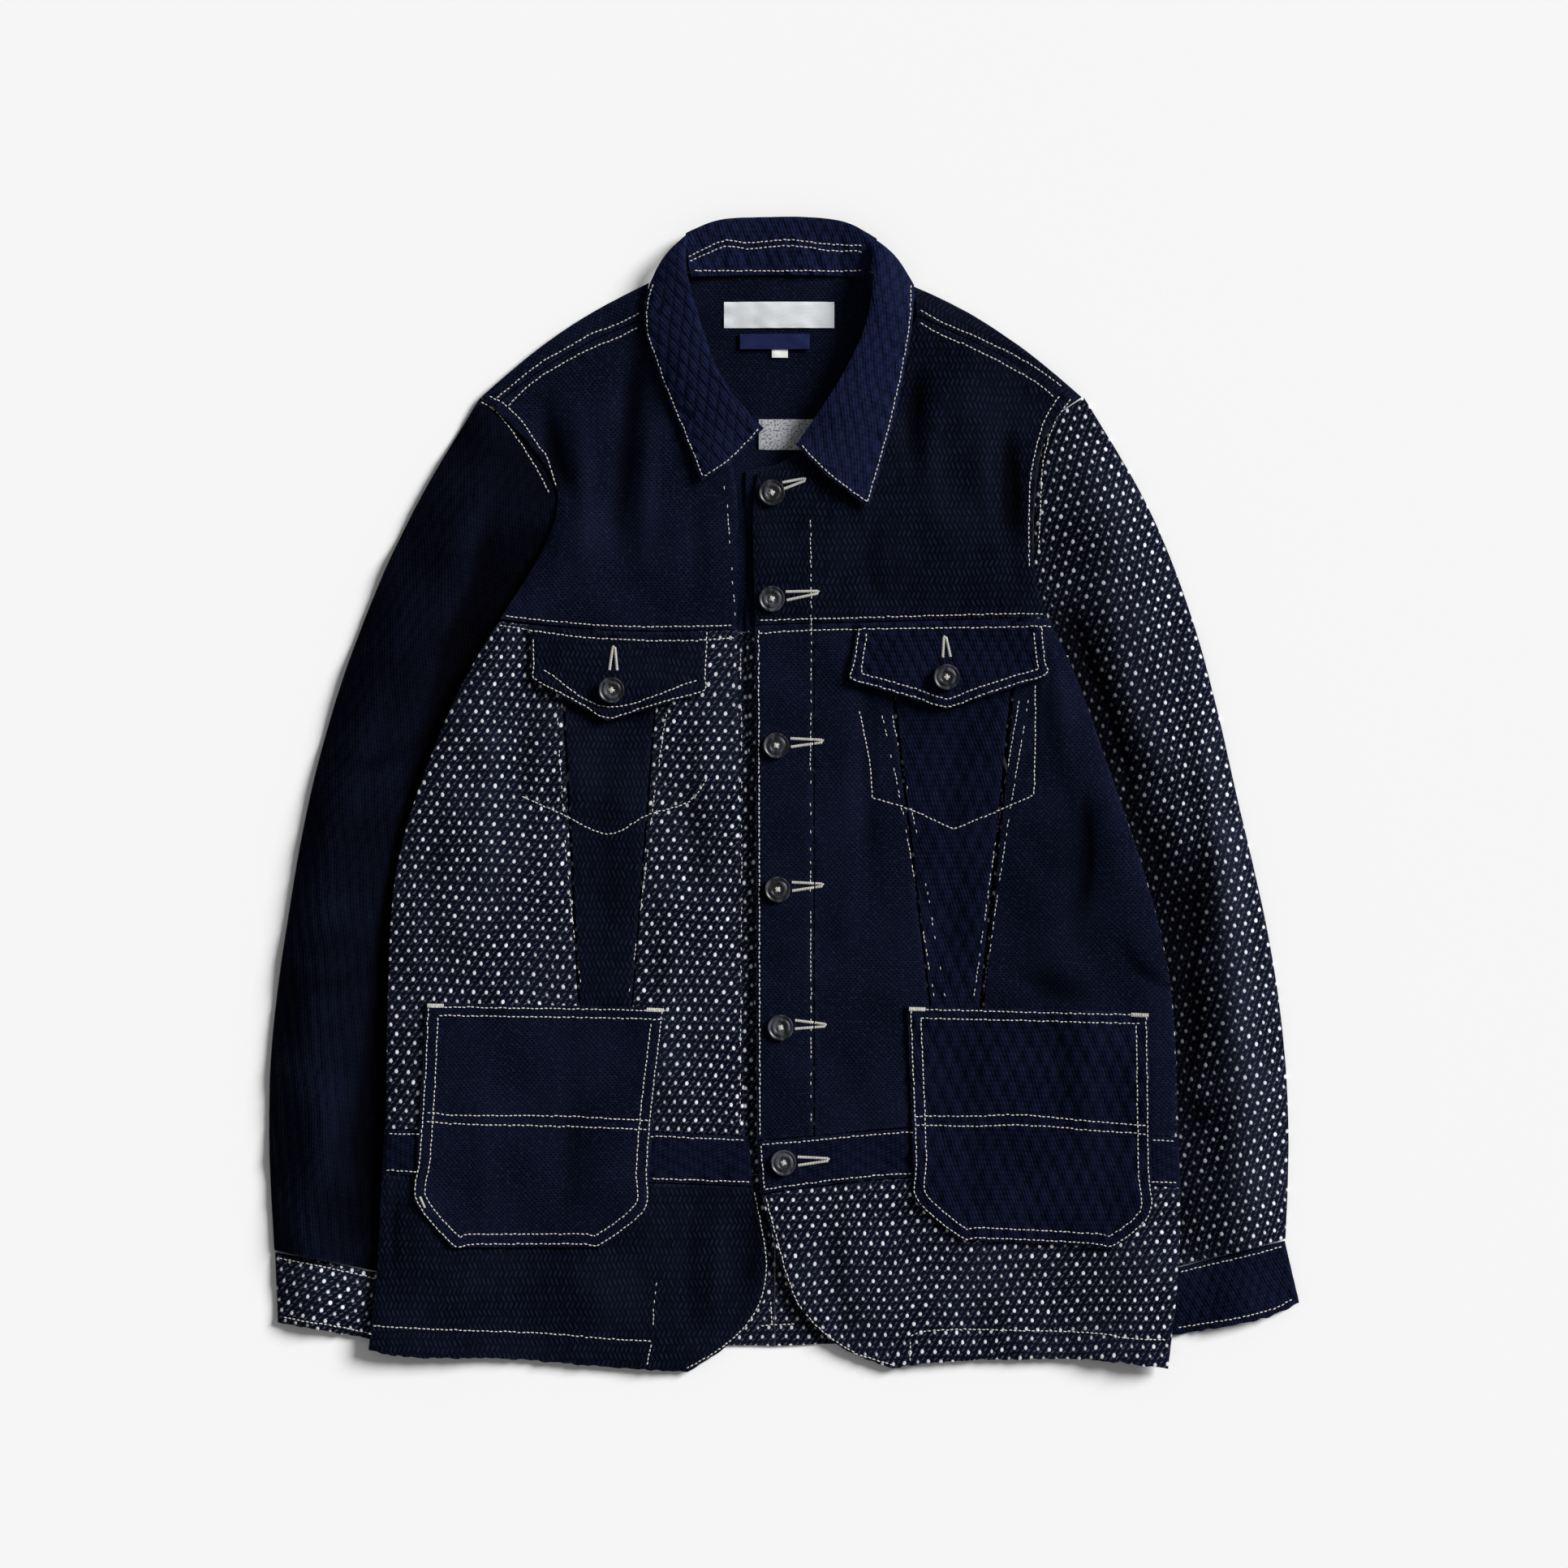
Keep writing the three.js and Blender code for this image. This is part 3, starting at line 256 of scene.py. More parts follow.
# rows laid as lines across a panel, in mm
LINE_ROWS = [
    [(-198, 117), (-168, 112), (-134, 108), (-78, 106), (-36, 108)],
    [(-19, 111), (6, 113), (45, 114), (122, 115), (182, 116)],
    [(-205, 275), (-194, 269), (-182, 257), (-172, 242), (-165, 232), (-158, 210)],
    [(-211, 271), (-201, 265), (-190, 252), (-179, 236), (-169, 219), (-164, 208)],
    [(188, 275), (179, 261), (173, 243), (168, 218), (167, 190), (167, 157)],
    [(196, 273), (186, 259), (180, 243), (176, 225), (175, 200), (174, 170)],
    [(-101, 332), (-115, 325), (-136, 317), (-149, 309), (-172, 296), (-200, 273)],
    [(-102, 322), (-116, 315), (-136, 307), (-158, 295), (-176, 283), (-192, 268)],
    [(92, 334), (106, 326), (127, 317), (153, 305), (172, 294), (190, 281)],
    [(92, 325), (106, 317), (127, 308), (153, 295), (172, 284), (184, 274)],
    [(-68, 370), (-44, 381), (-26, 380), (3, 382), (27, 379), (52, 378)],
    [(-67, 367), (-43, 377), (-26, 376), (3, 378), (27, 375), (52, 374)],
    [(-64, 361), (-39, 361), (-2, 361), (52, 361)],
    [(-167, 86), (-122.5, 60.5), (-61.5, 79)],
    [(-182, -1), (-155, -13), (-123, -27), (-96, -14), (-68, -5), (-55, 11)],
    [(50, 58), (57, 24), (59, -2)],
    [(59, -2), (85, -10), (115, -23.5)],
    [(115, -23.5), (143, -12), (170, 0)],
    [(170, 0), (171, 38), (171, 76)],
    [(-247, -218), (-225, -220), (-156, -221), (-95, -224)],
    [(-248, -224), (-225, -226), (-156, -228), (-96, -230)],
    [(88, -221), (127, -221), (162, -220), (205, -224), (247, -227)],
    [(89, -227), (127, -228), (162, -227), (205, -230), (247, -233)],
    [(-285, -365), (-232, -368), (-185, -370), (-152, -372), (-116, -375), (-93, -376)],
    [(-93, -378), (-95, -386), (-96, -393)],
    [(85, -373), (93, -370), (118, -368), (208, -370), (231, -373), (261, -375)],
    [(85, -376), (85, -390)],
    [(-11, -349), (-10, -365)],
    [(-18, -366), (6, -365)],
]
# rows sunk in the cloth, of which only some stitches show: points in mm, the share that shows
SUNK_ROWS = [
    ([(16.5, 190), (17, 115), (16.5, 20), (16.5, -67), (16.8, -150), (17, -228)], 0.6),
    ([(-43, 213), (-41, 198), (-38, 158), (-35, 120)], 0.6),
    ([(-88, -326), (-91, -347), (-92, -372)], 0.5),
    ([(-32, 104), (-31, 40), (-31, -60), (-32, -226)], 0.45),
    ([(-158, 66), (-154.5, 0), (-149.5, -67), (-140.5, -139)], 0.55),
    ([(-83, 56), (-91, 0), (-99, -67), (-108.5, -139)], 0.6),
    ([(64.5, 61), (75, 13), (86, -45), (101.5, -139)], 0.5),
    ([(72, 58), (82, 10), (93, -45), (109, -139)], 0.35),
    ([(160, 65), (152, 18), (143, -39), (129, -139)], 0.75),
    ([(166.5, 66), (158.5, 18), (149.5, -39), (135.5, -139)], 0.7),
]
# bars of close stitches: (start, end, width in mm at the start, at the end)
BARS = [
    ((-246.5, -144.6), (-236, -144.8), 3, 3), ((-96, -147.6), (-85, -148.1), 3, 3),
    ((84.5, -147.2), (95, -147.4), 3, 3), ((237, -151), (248, -151.3), 3, 3),
    ((-251.5, -276), (-248.5, -283), 1.8, 1.8),
]
# buttonholes: (start at the button, end, half spread of the two bars at the start, in mm)
BUTTONHOLES = [
    ((-2, 213), (12, 217), 2.2), ((0, 137), (21, 139.5), 2.9), ((3, 36), (24, 37), 2.9),
    ((4, -63), (24, -62), 2.9), ((6, -158), (26, -158.5), 2.9), ((8, -252), (28, -251), 2.9),
    ((-119, 86), (-118.6, 101), 2.6), ((110, 95), (109, 108), 2.6),
]


def lay_out(points, step):
    """Points a step apart along a smooth line through the given ones."""
    points = np.array(points, float)
    if len(points) > 2:
        ends = np.vstack([2 * points[0] - points[1], points, 2 * points[-1] - points[-2]])
        smooth = []
        for i in range(len(points) - 1):
            a, b, c, d = ends[i:i + 4]
            t = np.linspace(0, 1, 12, endpoint=False)[:, None]
            smooth.append(0.5 * (2 * b + (c - a) * t + (2 * a - 5 * b + 4 * c - d) * t ** 2
                                 + (3 * b - a - 3 * c + d) * t ** 3))
        points = np.vstack(smooth + [points[-1:]])
    along = np.concatenate([[0], np.cumsum(np.hypot(*np.diff(points, axis=0).T))])
    count = max(2, int(round(along[-1] / step)) + 1)
    at = np.linspace(0, along[-1], count)
    return np.column_stack([np.interp(at, along, points[:, 0]), np.interp(at, along, points[:, 1])])


SAME_PLACE = 2e-5  # metres: the corners of neighbouring faces closer than this are one
FACES_UP = 0.05  # the least upward part of an upper face's normal


def top_mesh(node):
    """The upper side of a CAD sheet as a merged mesh of four-sided faces."""
    bm = bmesh.new()
    bm.from_mesh(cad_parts[node].data)
    bmesh.ops.remove_doubles(bm, verts=bm.verts, dist=SAME_PLACE)
    bm.normal_update()
    not_upper = [f for f in bm.faces if f.normal.z < FACES_UP]
    bmesh.ops.delete(bm, geom=not_upper, context="FACES")
    bmesh.ops.join_triangles(bm, faces=bm.faces, angle_face_threshold=math.pi,
                             angle_shape_threshold=math.pi)
    return bm


CORNER_ANGLE = math.radians(158)  # an outline that turns more sharply than this has a corner


def keep_corners(bm):
    """Holds the corners of a panel's outline sharp while it is subdivided."""
    held = bm.verts.layers.float.new("crease_vert")
    for v in bm.verts:
        sides = [e.other_vert(v).co - v.co for e in v.link_edges if e.is_boundary]
        if len(sides) == 2 and sides[0].angle(sides[1]) < CORNER_ANGLE:
            v[held] = 1.0


def outline(bm):
    """The longest edge loop round a mesh, in millimetres."""
    # a dictionary, because the order of a set would change from run to run
    left = {e: True for e in bm.edges if e.is_boundary}
    loops = []
    while left:
        edge, _ = left.popitem()
        loop = [edge.verts[0], edge.verts[1]]
        while loop[-1] != loop[0]:
            after = next((e for e in loop[-1].link_edges if e in left), None)
            if after is None:
                break
            del left[after]
            loop.append(after.other_vert(loop[-1]))
        loops.append(loop)
    longest = max(loops, key=len)
    return np.array([(v.co.x / MM - ZERO[0], v.co.y / MM - ZERO[1]) for v in longest[:-1]])


def nearest_tree(points):
    """A tree that finds the nearest of some flat points."""
    tree = KDTree(len(points))
    for i, (px, py) in enumerate(points):
        tree.insert((px, py, 0), i)
    tree.balance()
    return tree


def distances(tree, x, y):
    """How far each place is from the nearest point of a tree."""
    return np.array([tree.find((px, py, 0))[2] for px, py in zip(x, y)])


RUN_STEP, EDGE_STEP = 3.0, 2.0  # mm between the points of a run and of the edge beside it
CLEAR_SHARE = 0.9  # how much of its inset a point of the run has to keep


def edge_run(loop, first, last, through, inset):
    """The part of a panel's outline between two corners that passes a point, moved inwards."""
    near = [int(np.argmin(np.hypot(*(loop - np.array(p)).T))) for p in (first, last)]
    count = len(loop)
    ways = []
    for step in (1, -1):
        way, at = [near[0]], near[0]
        while at != near[1]:
            at = (at + step) % count
            way.append(at)
        ways.append(loop[way])
    away = [np.min(np.hypot(*(w - np.array(through)).T)) for w in ways]
    run = ways[int(np.argmin(away))]
    run = lay_out(run, RUN_STEP)
    along = np.gradient(run, axis=0)
    side = np.column_stack([-along[:, 1], along[:, 0]])
    side /= np.maximum(np.hypot(*side.T), 1e-9)[:, None]
    middle = loop.mean(axis=0)
    if np.sum((middle - run) * side) < 0:
        side = -side
    moved = run + side * inset
    # near a corner the moved line would cross itself, so points too close to the edge are dropped
    keep = distances(nearest_tree(lay_out(loop, EDGE_STEP)), *moved.T) > inset * CLEAR_SHARE
    return moved[keep]


def seam_rows(outlines):
    """Every row of stitches: its panel, or nothing, and its points on the flat jacket in mm."""
    rows = []
    for node, first, last, through, insets in EDGE_ROWS:
        for inset in insets:
            rows.append((node, edge_run(outlines[node], first, last, through, inset)))
    rows += [(None, line) for line in LINE_ROWS]
    return [(node, lay_out(row, PITCH)) for node, row in rows if len(row) > 1]


def quilt_lattice(u, v, width, height):
    """Soft diamonds with sharp hollows between them, from 0 in the hollows to 1."""
    one = np.abs(np.sin(math.pi * (u / width + v / height)))
    two = np.abs(np.sin(math.pi * (u / width - v / height)))
    return np.sqrt(one * two)


# ---------------------------------------------------------------- the relief of worn cloth
def waves(x, y, size, seed, count=7):
    """Soft noise from waves of about one size, the same each run, from -1 to 1."""
    draw = np.random.default_rng(seed)
    total = np.zeros_like(x)
    for _ in range(count):
        turn = draw.uniform(0, math.tau)
        length = size * draw.uniform(0.7, 1.5)
        phase = draw.uniform(0, math.tau)
        total += np.sin((x * math.cos(turn) + y * math.sin(turn)) * math.tau / length + phase)
    return total / count * 1.6


def crease(x, y, line, half_width, height):
    """A soft ridge or trough along a line, fading out at its ends."""
    points = lay_out(line, 12)
    best = np.full(x.shape, 1e9)
    along = np.zeros_like(x)
    for i in range(len(points) - 1):
        a, d = points[i], points[i + 1] - points[i]
        t = np.clip(((x - a[0]) * d[0] + (y - a[1]) * d[1]) / (d @ d), 0, 1)
        off = np.hypot(x - a[0] - t * d[0], y - a[1] - t * d[1])
        closer = off < best
        best[closer] = off[closer]
        along[closer] = ((i + t) / (len(points) - 1))[closer]
    taper = np.sin(math.pi * np.clip(along, 0.02, 0.98)) ** 0.5
    return height * taper * np.exp(-(best / half_width) ** 2)


def puckers(x, y, tree, reach, size, seed):
    """Short waves that stand across a seam and fade away from it."""
    near = distances(tree, x, y)
    return np.exp(-near / reach) * waves(x, y, size, seed), near


def leaf_puckers(x, y, outer, length, spacing, height, lean):
    """Short creases that run in from the outer edge of a collar leaf."""
    total = np.zeros_like(x)
    for number, start in enumerate(lay_out(outer, spacing)[1:-1]):
        turn = lean + 0.22 * math.sin(number * 2.4)
        reach = length * (0.75 + 0.25 * math.sin(number * 1.7))
        end = start + reach * np.array([math.cos(turn), math.sin(turn)])
        sign = 1 if number % 2 else -1
        total += crease(x, y, [tuple(start), tuple(end)], spacing * 0.32, sign * height)
    return total


# ---------------------------------------------------------------- finishes
def shade(red, green, blue):
    """A display colour, each part from 0 to 255, as the linear colour that shaders take."""
    parts = [c / 255 for c in (red, green, blue)]
    linear = [c / 12.92 if c <= 0.04045 else ((c + 0.055) / 1.055) ** 2.4 for c in parts]
    return (*linear, 1.0)


MIX_A, MIX_B, MIX_RESULT = 6, 7, 2  # the colour sockets of a mix node
FAINT_SHINE = 0.012  # dark cloth with more would look grey
PER_METRE = 1000  # millimetres


class Finish:
    """One procedural material, put together node by node."""

    def __init__(self, name, roughness=0.9, specular=FAINT_SHINE, sheen=0.0):
        self.material = bpy.data.materials.new(name)
        self.material.use_nodes = True
        self.nodes = self.material.node_tree.nodes
        self.links = self.material.node_tree.links
        self.shader = self.nodes["Principled BSDF"]
        self.shader.inputs["Roughness"].default_value = roughness
        self.shader.inputs["Specular IOR Level"].default_value = specular
        self.shader.inputs["Sheen Weight"].default_value = sheen
        self.shader.inputs["Sheen Roughness"].default_value = 0.6

    def put(self, value, socket):
        """Links a socket, or sets a plain value."""
        if isinstance(value, bpy.types.NodeSocket):
            self.links.new(value, socket)
        elif value is not None:
            socket.default_value = value

    def math(self, operation, a, b=None, c=None):
        node = self.nodes.new("ShaderNodeMath")
        node.operation = operation
        for value, socket in zip((a, b, c), node.inputs):
            self.put(value, socket)
        return node.outputs[0]

    def times(self, a, b):
        return self.math("MULTIPLY", a, b)

    def times_plus(self, a, b, c):
        return self.math("MULTIPLY_ADD", a, b, c)

    def mix(self, factor, a, b):
        node = self.nodes.new("ShaderNodeMix")
        node.data_type = "RGBA"
        self.put(factor, node.inputs[0])
        self.put(a, node.inputs[MIX_A])
        self.put(b, node.inputs[MIX_B])
        return node.outputs[MIX_RESULT]

    def fade(self, value, full, none):
        """1 where value is at full, 0 where it is at none, smooth between."""
        node = self.nodes.new("ShaderNodeMapRange")
        node.interpolation_type = "SMOOTHSTEP"
        self.put(value, node.inputs["Value"])
        for socket, number in zip(("From Min", "From Max", "To Min", "To Max"),
                                  (full, none, 1, 0) if full < none else (none, full, 0, 1)):
            node.inputs[socket].default_value = number
        return node.outputs["Result"]

    def cloth_place(self):
        """The place on the cloth in millimetres along and across its grain."""
        place = self.nodes.new("ShaderNodeUVMap")
        place.uv_map = "cloth"
        self.place = place.outputs[0]
        split = self.nodes.new("ShaderNodeSeparateXYZ")
        self.links.new(self.place, split.inputs[0])
        across, along = (self.times(split.outputs[i], PER_METRE) for i in (0, 1))
        return across, along

    def noise(self, scale, detail=2, offset=0.0, stretch=(1, 1)):
        """Noise on the cloth; scale is in features a metre."""
        mapping = self.nodes.new("ShaderNodeMapping")
        mapping.inputs["Location"].default_value = (offset, offset * 1.7, 0)
        mapping.inputs["Scale"].default_value = (stretch[0], stretch[1], 1)
        self.links.new(self.place, mapping.inputs["Vector"])
        node = self.nodes.new("ShaderNodeTexNoise")
        node.inputs["Scale"].default_value = scale
        node.inputs["Detail"].default_value = detail
        self.links.new(mapping.outputs[0], node.inputs["Vector"])
        return node.outputs["Fac"]

    def attribute(self, name):
        """A value that the mesh carries at each point."""
        node = self.nodes.new("ShaderNodeAttribute")
        node.attribute_name = name
        return node.outputs["Fac"]

    def object_place(self):
        """Takes the place of the noise from the object and not from the cloth."""
        self.place = self.nodes.new("ShaderNodeTexCoord").outputs["Object"]

    def emboss(self, height, strength, depth):
        """Adds fine relief, its depth in millimetres."""
        relief = self.nodes.new("ShaderNodeBump")
        relief.inputs["Strength"].default_value = strength
        relief.inputs["Distance"].default_value = depth * MM
        self.links.new(height, relief.inputs["Height"])
        self.links.new(relief.outputs[0], self.shader.inputs["Normal"])

    def cells(self, across, along, width, height, shift=0.5):
        """Staggered cells: the place in a cell in mm, its row's parity and a random number."""
        row_place = self.math("DIVIDE", along, height)
        row = self.math("FLOOR", row_place)
        odd = self.math("FLOORED_MODULO", row, 2)
        column_place = self.times_plus(odd, shift, self.math("DIVIDE", across, width))
        column = self.math("FLOOR", column_place)
        from_middle = []
        for place, cell, size in ((column_place, column, width), (row_place, row, height)):
            inside = self.math("SUBTRACT", self.math("SUBTRACT", place, cell), 0.5)
            from_middle.append(self.times(inside, size))
        joined = self.nodes.new("ShaderNodeCombineXYZ")
        self.put(column, joined.inputs[0])
        self.put(row, joined.inputs[1])
        white = self.nodes.new("ShaderNodeTexWhiteNoise")
        white.noise_dimensions = "2D"
        self.links.new(joined.outputs[0], white.inputs["Vector"])
        return from_middle[0], from_middle[1], odd, white.outputs["Value"]

    def oval(self, x, y, half_width, half_height):
        """How far a place is from an oval's middle: 1 on the oval."""
        a = self.math("POWER", self.math("DIVIDE", x, half_width), 2)
        b = self.math("POWER", self.math("DIVIDE", y, half_height), 2)
        return self.math("SQRT", self.math("ADD", a, b))

    def lozenge(self, x, y, half_width, half_height):
        """How far a place is from a lozenge's middle: 1 on its sides."""
        a = self.math("DIVIDE", self.math("ABSOLUTE", x), half_width)
        b = self.math("DIVIDE", self.math("ABSOLUTE", y), half_height)
        return self.math("ADD", a, b)

    def cloth(self, colour, height, depth, worn_and_highlight, amount=0.3):
        """Adds the wear, faded edges, painted shade in the hollows of the folds, wear with a painted
        highlight on their ridges, and the thread relief that every cloth shares.
        """
        fading = self.fade(self.noise(17, 3, offset=7.0), 0.72, 0.36)
        colour = self.mix(self.times(fading, 0.16), colour, worn_and_highlight)
        rubbed = self.fade(self.attribute("edge_distance"), 0.3, 3.4)
        patchy = self.fade(self.noise(110, 2, offset=1.3), 0.62, 0.42)
        faded = self.times(self.times(rubbed, patchy), amount)
        colour = self.mix(faded, colour, worn_and_highlight)
        folds = self.attribute("relief")
        painted_hollow_shade = self.times(self.fade(folds, 0.04, 0.52), 0.86)
        colour = self.mix(painted_hollow_shade, colour, shade(2, 2, 5))  # painted shade: the hollows of the folds near black
        # wear and painted highlight: the ridges of the folds lighter
        ridge = self.times(self.fade(folds, 0.98, 0.58), 0.2)
        colour = self.mix(ridge, colour, worn_and_highlight)
        thread = self.noise(1300, 1, stretch=(1, 0.6))
        height = self.times_plus(thread, 0.35, height)
        self.emboss(height, 0.8, depth)
        self.put(colour, self.shader.inputs["Base Color"])
        self.put(self.times_plus(thread, 0.12, 0.82), self.shader.inputs["Roughness"])
        return self.material


# width and height of one repeat of each weave, in mm
DOTS, DASHES, DIAMONDS = (8.0, 6.4), (4.0, 3.2), (3.2, 1.7)
SLUBS, TWILL, TAPE = (3.3, 5.2), (2.2, 3.4), (0.9, 0.7)


def dotted_finish(colours):
    """Raised pale dots in staggered rows on a dark ground with fainter dashes between."""
    f = Finish("dotted_indigo")
    across, along = f.cloth_place()
    x, y, _odd, chance = f.cells(across, along, *DOTS)
    skew = f.times(f.math("SUBTRACT", chance, 0.5), 1.1)
    size = f.times_plus(chance, 0.3, 0.92)
    dot = f.fade(f.math("DIVIDE", f.oval(f.math("ADD", x, skew), y, 1.0, 1.25), size), 0.65, 1.25)
    x2, y2, _odd2, chance2 = f.cells(across, along, *DASHES)
    lean, cross = f.math("ADD", x2, y2), f.math("SUBTRACT", x2, y2)
    dash = f.times(f.fade(f.oval(lean, cross, 2.1, 0.75), 0.6, 1.25),
                  f.times_plus(chance2, 0.7, 0.25))
    ground = f.mix(f.noise(90, 3), colours.dotted_ground, shade(11, 14, 29))
    colour = f.mix(dash, ground, shade(76, 78, 94))
    bright = f.times(dot, f.times_plus(chance, 0.45, 0.5))
    colour = f.mix(bright, colour, colours.dots)
    return f.cloth(colour, f.times_plus(dash, 0.4, dot), 0.5, shade(38, 42, 60), 0.2)


def birdseye_finish(colours):
    """A small diamond weave with dark hollows."""
    f = Finish("birdseye_indigo")
    across, along = f.cloth_place()
    x, y, _odd, chance = f.cells(across, along, *DIAMONDS)
    hole = f.fade(f.lozenge(x, y, 1.5, 0.95), 0.35, 1.0)
    speck = f.fade(f.noise(420, 2, offset=2.0), 0.66, 0.5)
    ground = f.mix(f.noise(26, 4), colours.indigo, shade(10, 13, 29))
    ground = f.mix(f.times(speck, 0.45), ground, shade(28, 34, 57))
    dark = f.times(hole, f.times_plus(chance, 0.4, 0.6))
    colour = f.mix(dark, ground, shade(3, 4, 9))
    return f.cloth(colour, f.math("SUBTRACT", 1, hole), 0.5, shade(30, 35, 58))


def slub_finish(colours):
    """Short leaning dashes of lighter thread, turned the other way in each row."""
    f = Finish("slub_indigo")
    across, along = f.cloth_place()
    x, y, odd, chance = f.cells(across, along, *SLUBS)
    lean = f.times_plus(odd, 0.7, -0.35)
    tilted = f.times_plus(y, lean, x)
    dash = f.fade(f.oval(tilted, y, 0.85, 2.7), 0.55, 1.2)
    dash = f.times(dash, f.times_plus(chance, 0.75, 0.25))
    streak = f.noise(130, 3, offset=4.0, stretch=(3.0, 0.5))
    ground = f.mix(streak, shade(2, 3, 8), shade(10, 12, 24))
    colour = f.mix(dash, ground, colours.slub)
    return f.cloth(colour, f.times_plus(streak, 0.5, dash), 0.6, shade(28, 32, 50))


def quilted_finish(name, ridge, valley, twill_shade=shade(34, 41, 74)):
    """Quilted cloth: raised lozenges with sunk lines between them, under a fine twill."""
    f = Finish(name)
    across, along = f.cloth_place()
    blob = f.fade(f.attribute("quilt"), 0.95, 0.2)
    x, y, _odd, chance = f.cells(across, along, *TWILL)
    lean = f.math("ADD", x, f.times(y, 0.35))
    twill = f.times(f.fade(f.oval(lean, y, 0.8, 1.7), 0.5, 1.2),
                   f.times_plus(chance, 0.7, 0.3))
    ground = f.mix(f.noise(34, 3), valley, shade(7, 9, 20))
    colour = f.mix(f.times_plus(blob, 0.75, 0.1), ground, ridge)
    colour = f.mix(f.times(twill, 0.3), colour, twill_shade)
    return f.cloth(colour, f.times_plus(blob, 1.2, twill), 0.5, shade(27, 32, 56))


def plain_finish(name, colour, other, speckle=0.0):
    """A plain woven tape or patch."""
    f = Finish(name)
    across, along = f.cloth_place()
    x, y = f.cells(across, along, *TAPE)[:2]
    weave = f.fade(f.lozenge(x, y, 0.45, 0.35), 0.2, 1.1)
    base = f.mix(f.noise(160, 3), colour, other)
    if speckle:
        fleck = f.fade(f.noise(700, 1, offset=6.0), 0.62, 0.5)
        base = f.mix(f.times(fleck, speckle), base, shade(40, 44, 58))
    return f.cloth(base, weave, 0.15, other, 0.1)


def thread_finish(colours):
    """Off-white cotton thread."""
    f = Finish("white_thread", roughness=0.75, sheen=0.1)
    f.object_place()
    tint = f.noise(350, 2)
    f.put(f.mix(tint, colours.thread, shade(176, 172, 166)), f.shader.inputs["Base Color"])
    return f.material


def horn_finish(colours):
    """Dark, streaked horn with a low shine."""
    f = Finish("dark_horn", roughness=0.32, specular=0.5)
    f.object_place()
    grain = f.noise(260, 4, stretch=(1.0, 0.35))
    colour = f.mix(f.fade(grain, 0.66, 0.42), colours.horn, shade(64, 66, 74))
    f.put(colour, f.shader.inputs["Base Color"])
    f.put(f.times_plus(grain, 0.3, 0.2), f.shader.inputs["Roughness"])
    f.emboss(grain, 0.3, 0.2)
    return f.material


def floor_finish(colours):
    """The plain floor."""
    f = Finish("pale_floor", roughness=0.7, specular=0.2)
    f.shader.inputs["Base Color"].default_value = colours.floor
    return f.material


# ---------------------------------------------------------------- shared work
class Bench:
    """What the pieces share."""
    outlines = {}  # panel: its edge
    rows = []  # the rows of stitches
    seams = None  # finds the nearest stitch hole
    finishes = {}
    tops = []  # the upper sides of what is laid so far
    surface = None  # finds their height
    owners = []  # the panel of each face of that surface


def prepare(settings):
    """Reads the outlines, lays out the seams and mixes the finishes, once."""
    if Bench.outlines:
        return
    for node in PANELS:
        bm = top_mesh(node)
        Bench.outlines[node] = outline(bm)
        bm.free()
    Bench.rows = seam_rows(Bench.outlines)
    Bench.seams = nearest_tree(np.vstack([row for _node, row in Bench.rows]))
    plain, c = plain_finish, settings
    Bench.finishes = {
        "dotted": dotted_finish(c), "birdseye": birdseye_finish(c), "slub": slub_finish(c),
        "quilted": quilted_finish("quilted_indigo", tuple(c.quilt_ridge), shade(4, 5, 13)),
        # painted shade: the quilted cloth copied darker for the left sleeve, which lies in shade
        "sleeve": quilted_finish("quilted_sleeve_in_painted_shade", shade(5, 6, 15), shade(1, 1, 3),
                                 shade(11, 14, 28)),
        "collar": quilted_finish("quilted_collar", shade(19, 25, 51), shade(14, 19, 40)),
        "speckled": plain("speckled_cloth", shade(150, 152, 160), shade(190, 190, 194), 0.8),
        "label": plain("label_cloth", shade(208, 212, 216), shade(224, 226, 228)),
        "label_blue": plain("label_blue_cloth", shade(26, 32, 66), shade(36, 42, 80)),
        "tag": plain("tag_cloth", shade(226, 226, 224), shade(236, 236, 234)),
        "thread": thread_finish(c), "horn": horn_finish(c), "floor": floor_finish(c),
    }


def pick_only(piece):
    """Makes one object the only selected one and the active one."""
    bpy.ops.object.select_all(action="DESELECT")
    piece.select_set(True)
    bpy.context.view_layer.objects.active = piece


def apply_modifier(piece, kind, **values):
    modifier = piece.modifiers.new(kind.title(), kind)
    for name, value in values.items():
        setattr(modifier, name, value)
    pick_only(piece)
    bpy.ops.object.modifier_apply(modifier=modifier.name)


# panel: (line they start from, length, spacing and height of the creases in mm, their lean)
SHORT_CREASES = {
    "collar_leaf_left": ([(-97, 335), (-88, 290), (-74, 250), (-60, 219)], 30, 7.5, 0.9, 0.75),
    "collar_leaf_right": ([(86, 340), (80, 290), (70, 240), (58, 200)], 20, 8, 0.6, 2.5),
    "collar_back": ([(-70, 362), (-20, 362), (60, 362)], 24, 8, 0.7, 1.57),
    "waistband_left": (lay_out([(-279, -262), (-150, -268), (-22, -272)], 20), 22, 8.5, 0.55, 1.15),
    "waistband_right": (lay_out([(-14, -275), (100, -268), (271, -272)], 20), 22, 8.5, 0.55, 1.15),
}
PUCKER_RISE = 0.7  # mm, as are the widths and heights below
SEAM_SINK, SEAM_WIDTH = 0.32, 1.1
EDGE_RIPPLE, EDGE_REACH = 0.45, 10
MIDDLE_OF_QUILT, QUILT_EDGE = 0.6, 4
ROLL_WIDTH = 1.5
BURIED_SHARE = 0.4  # how much relief is left in cloth that lies under other layers


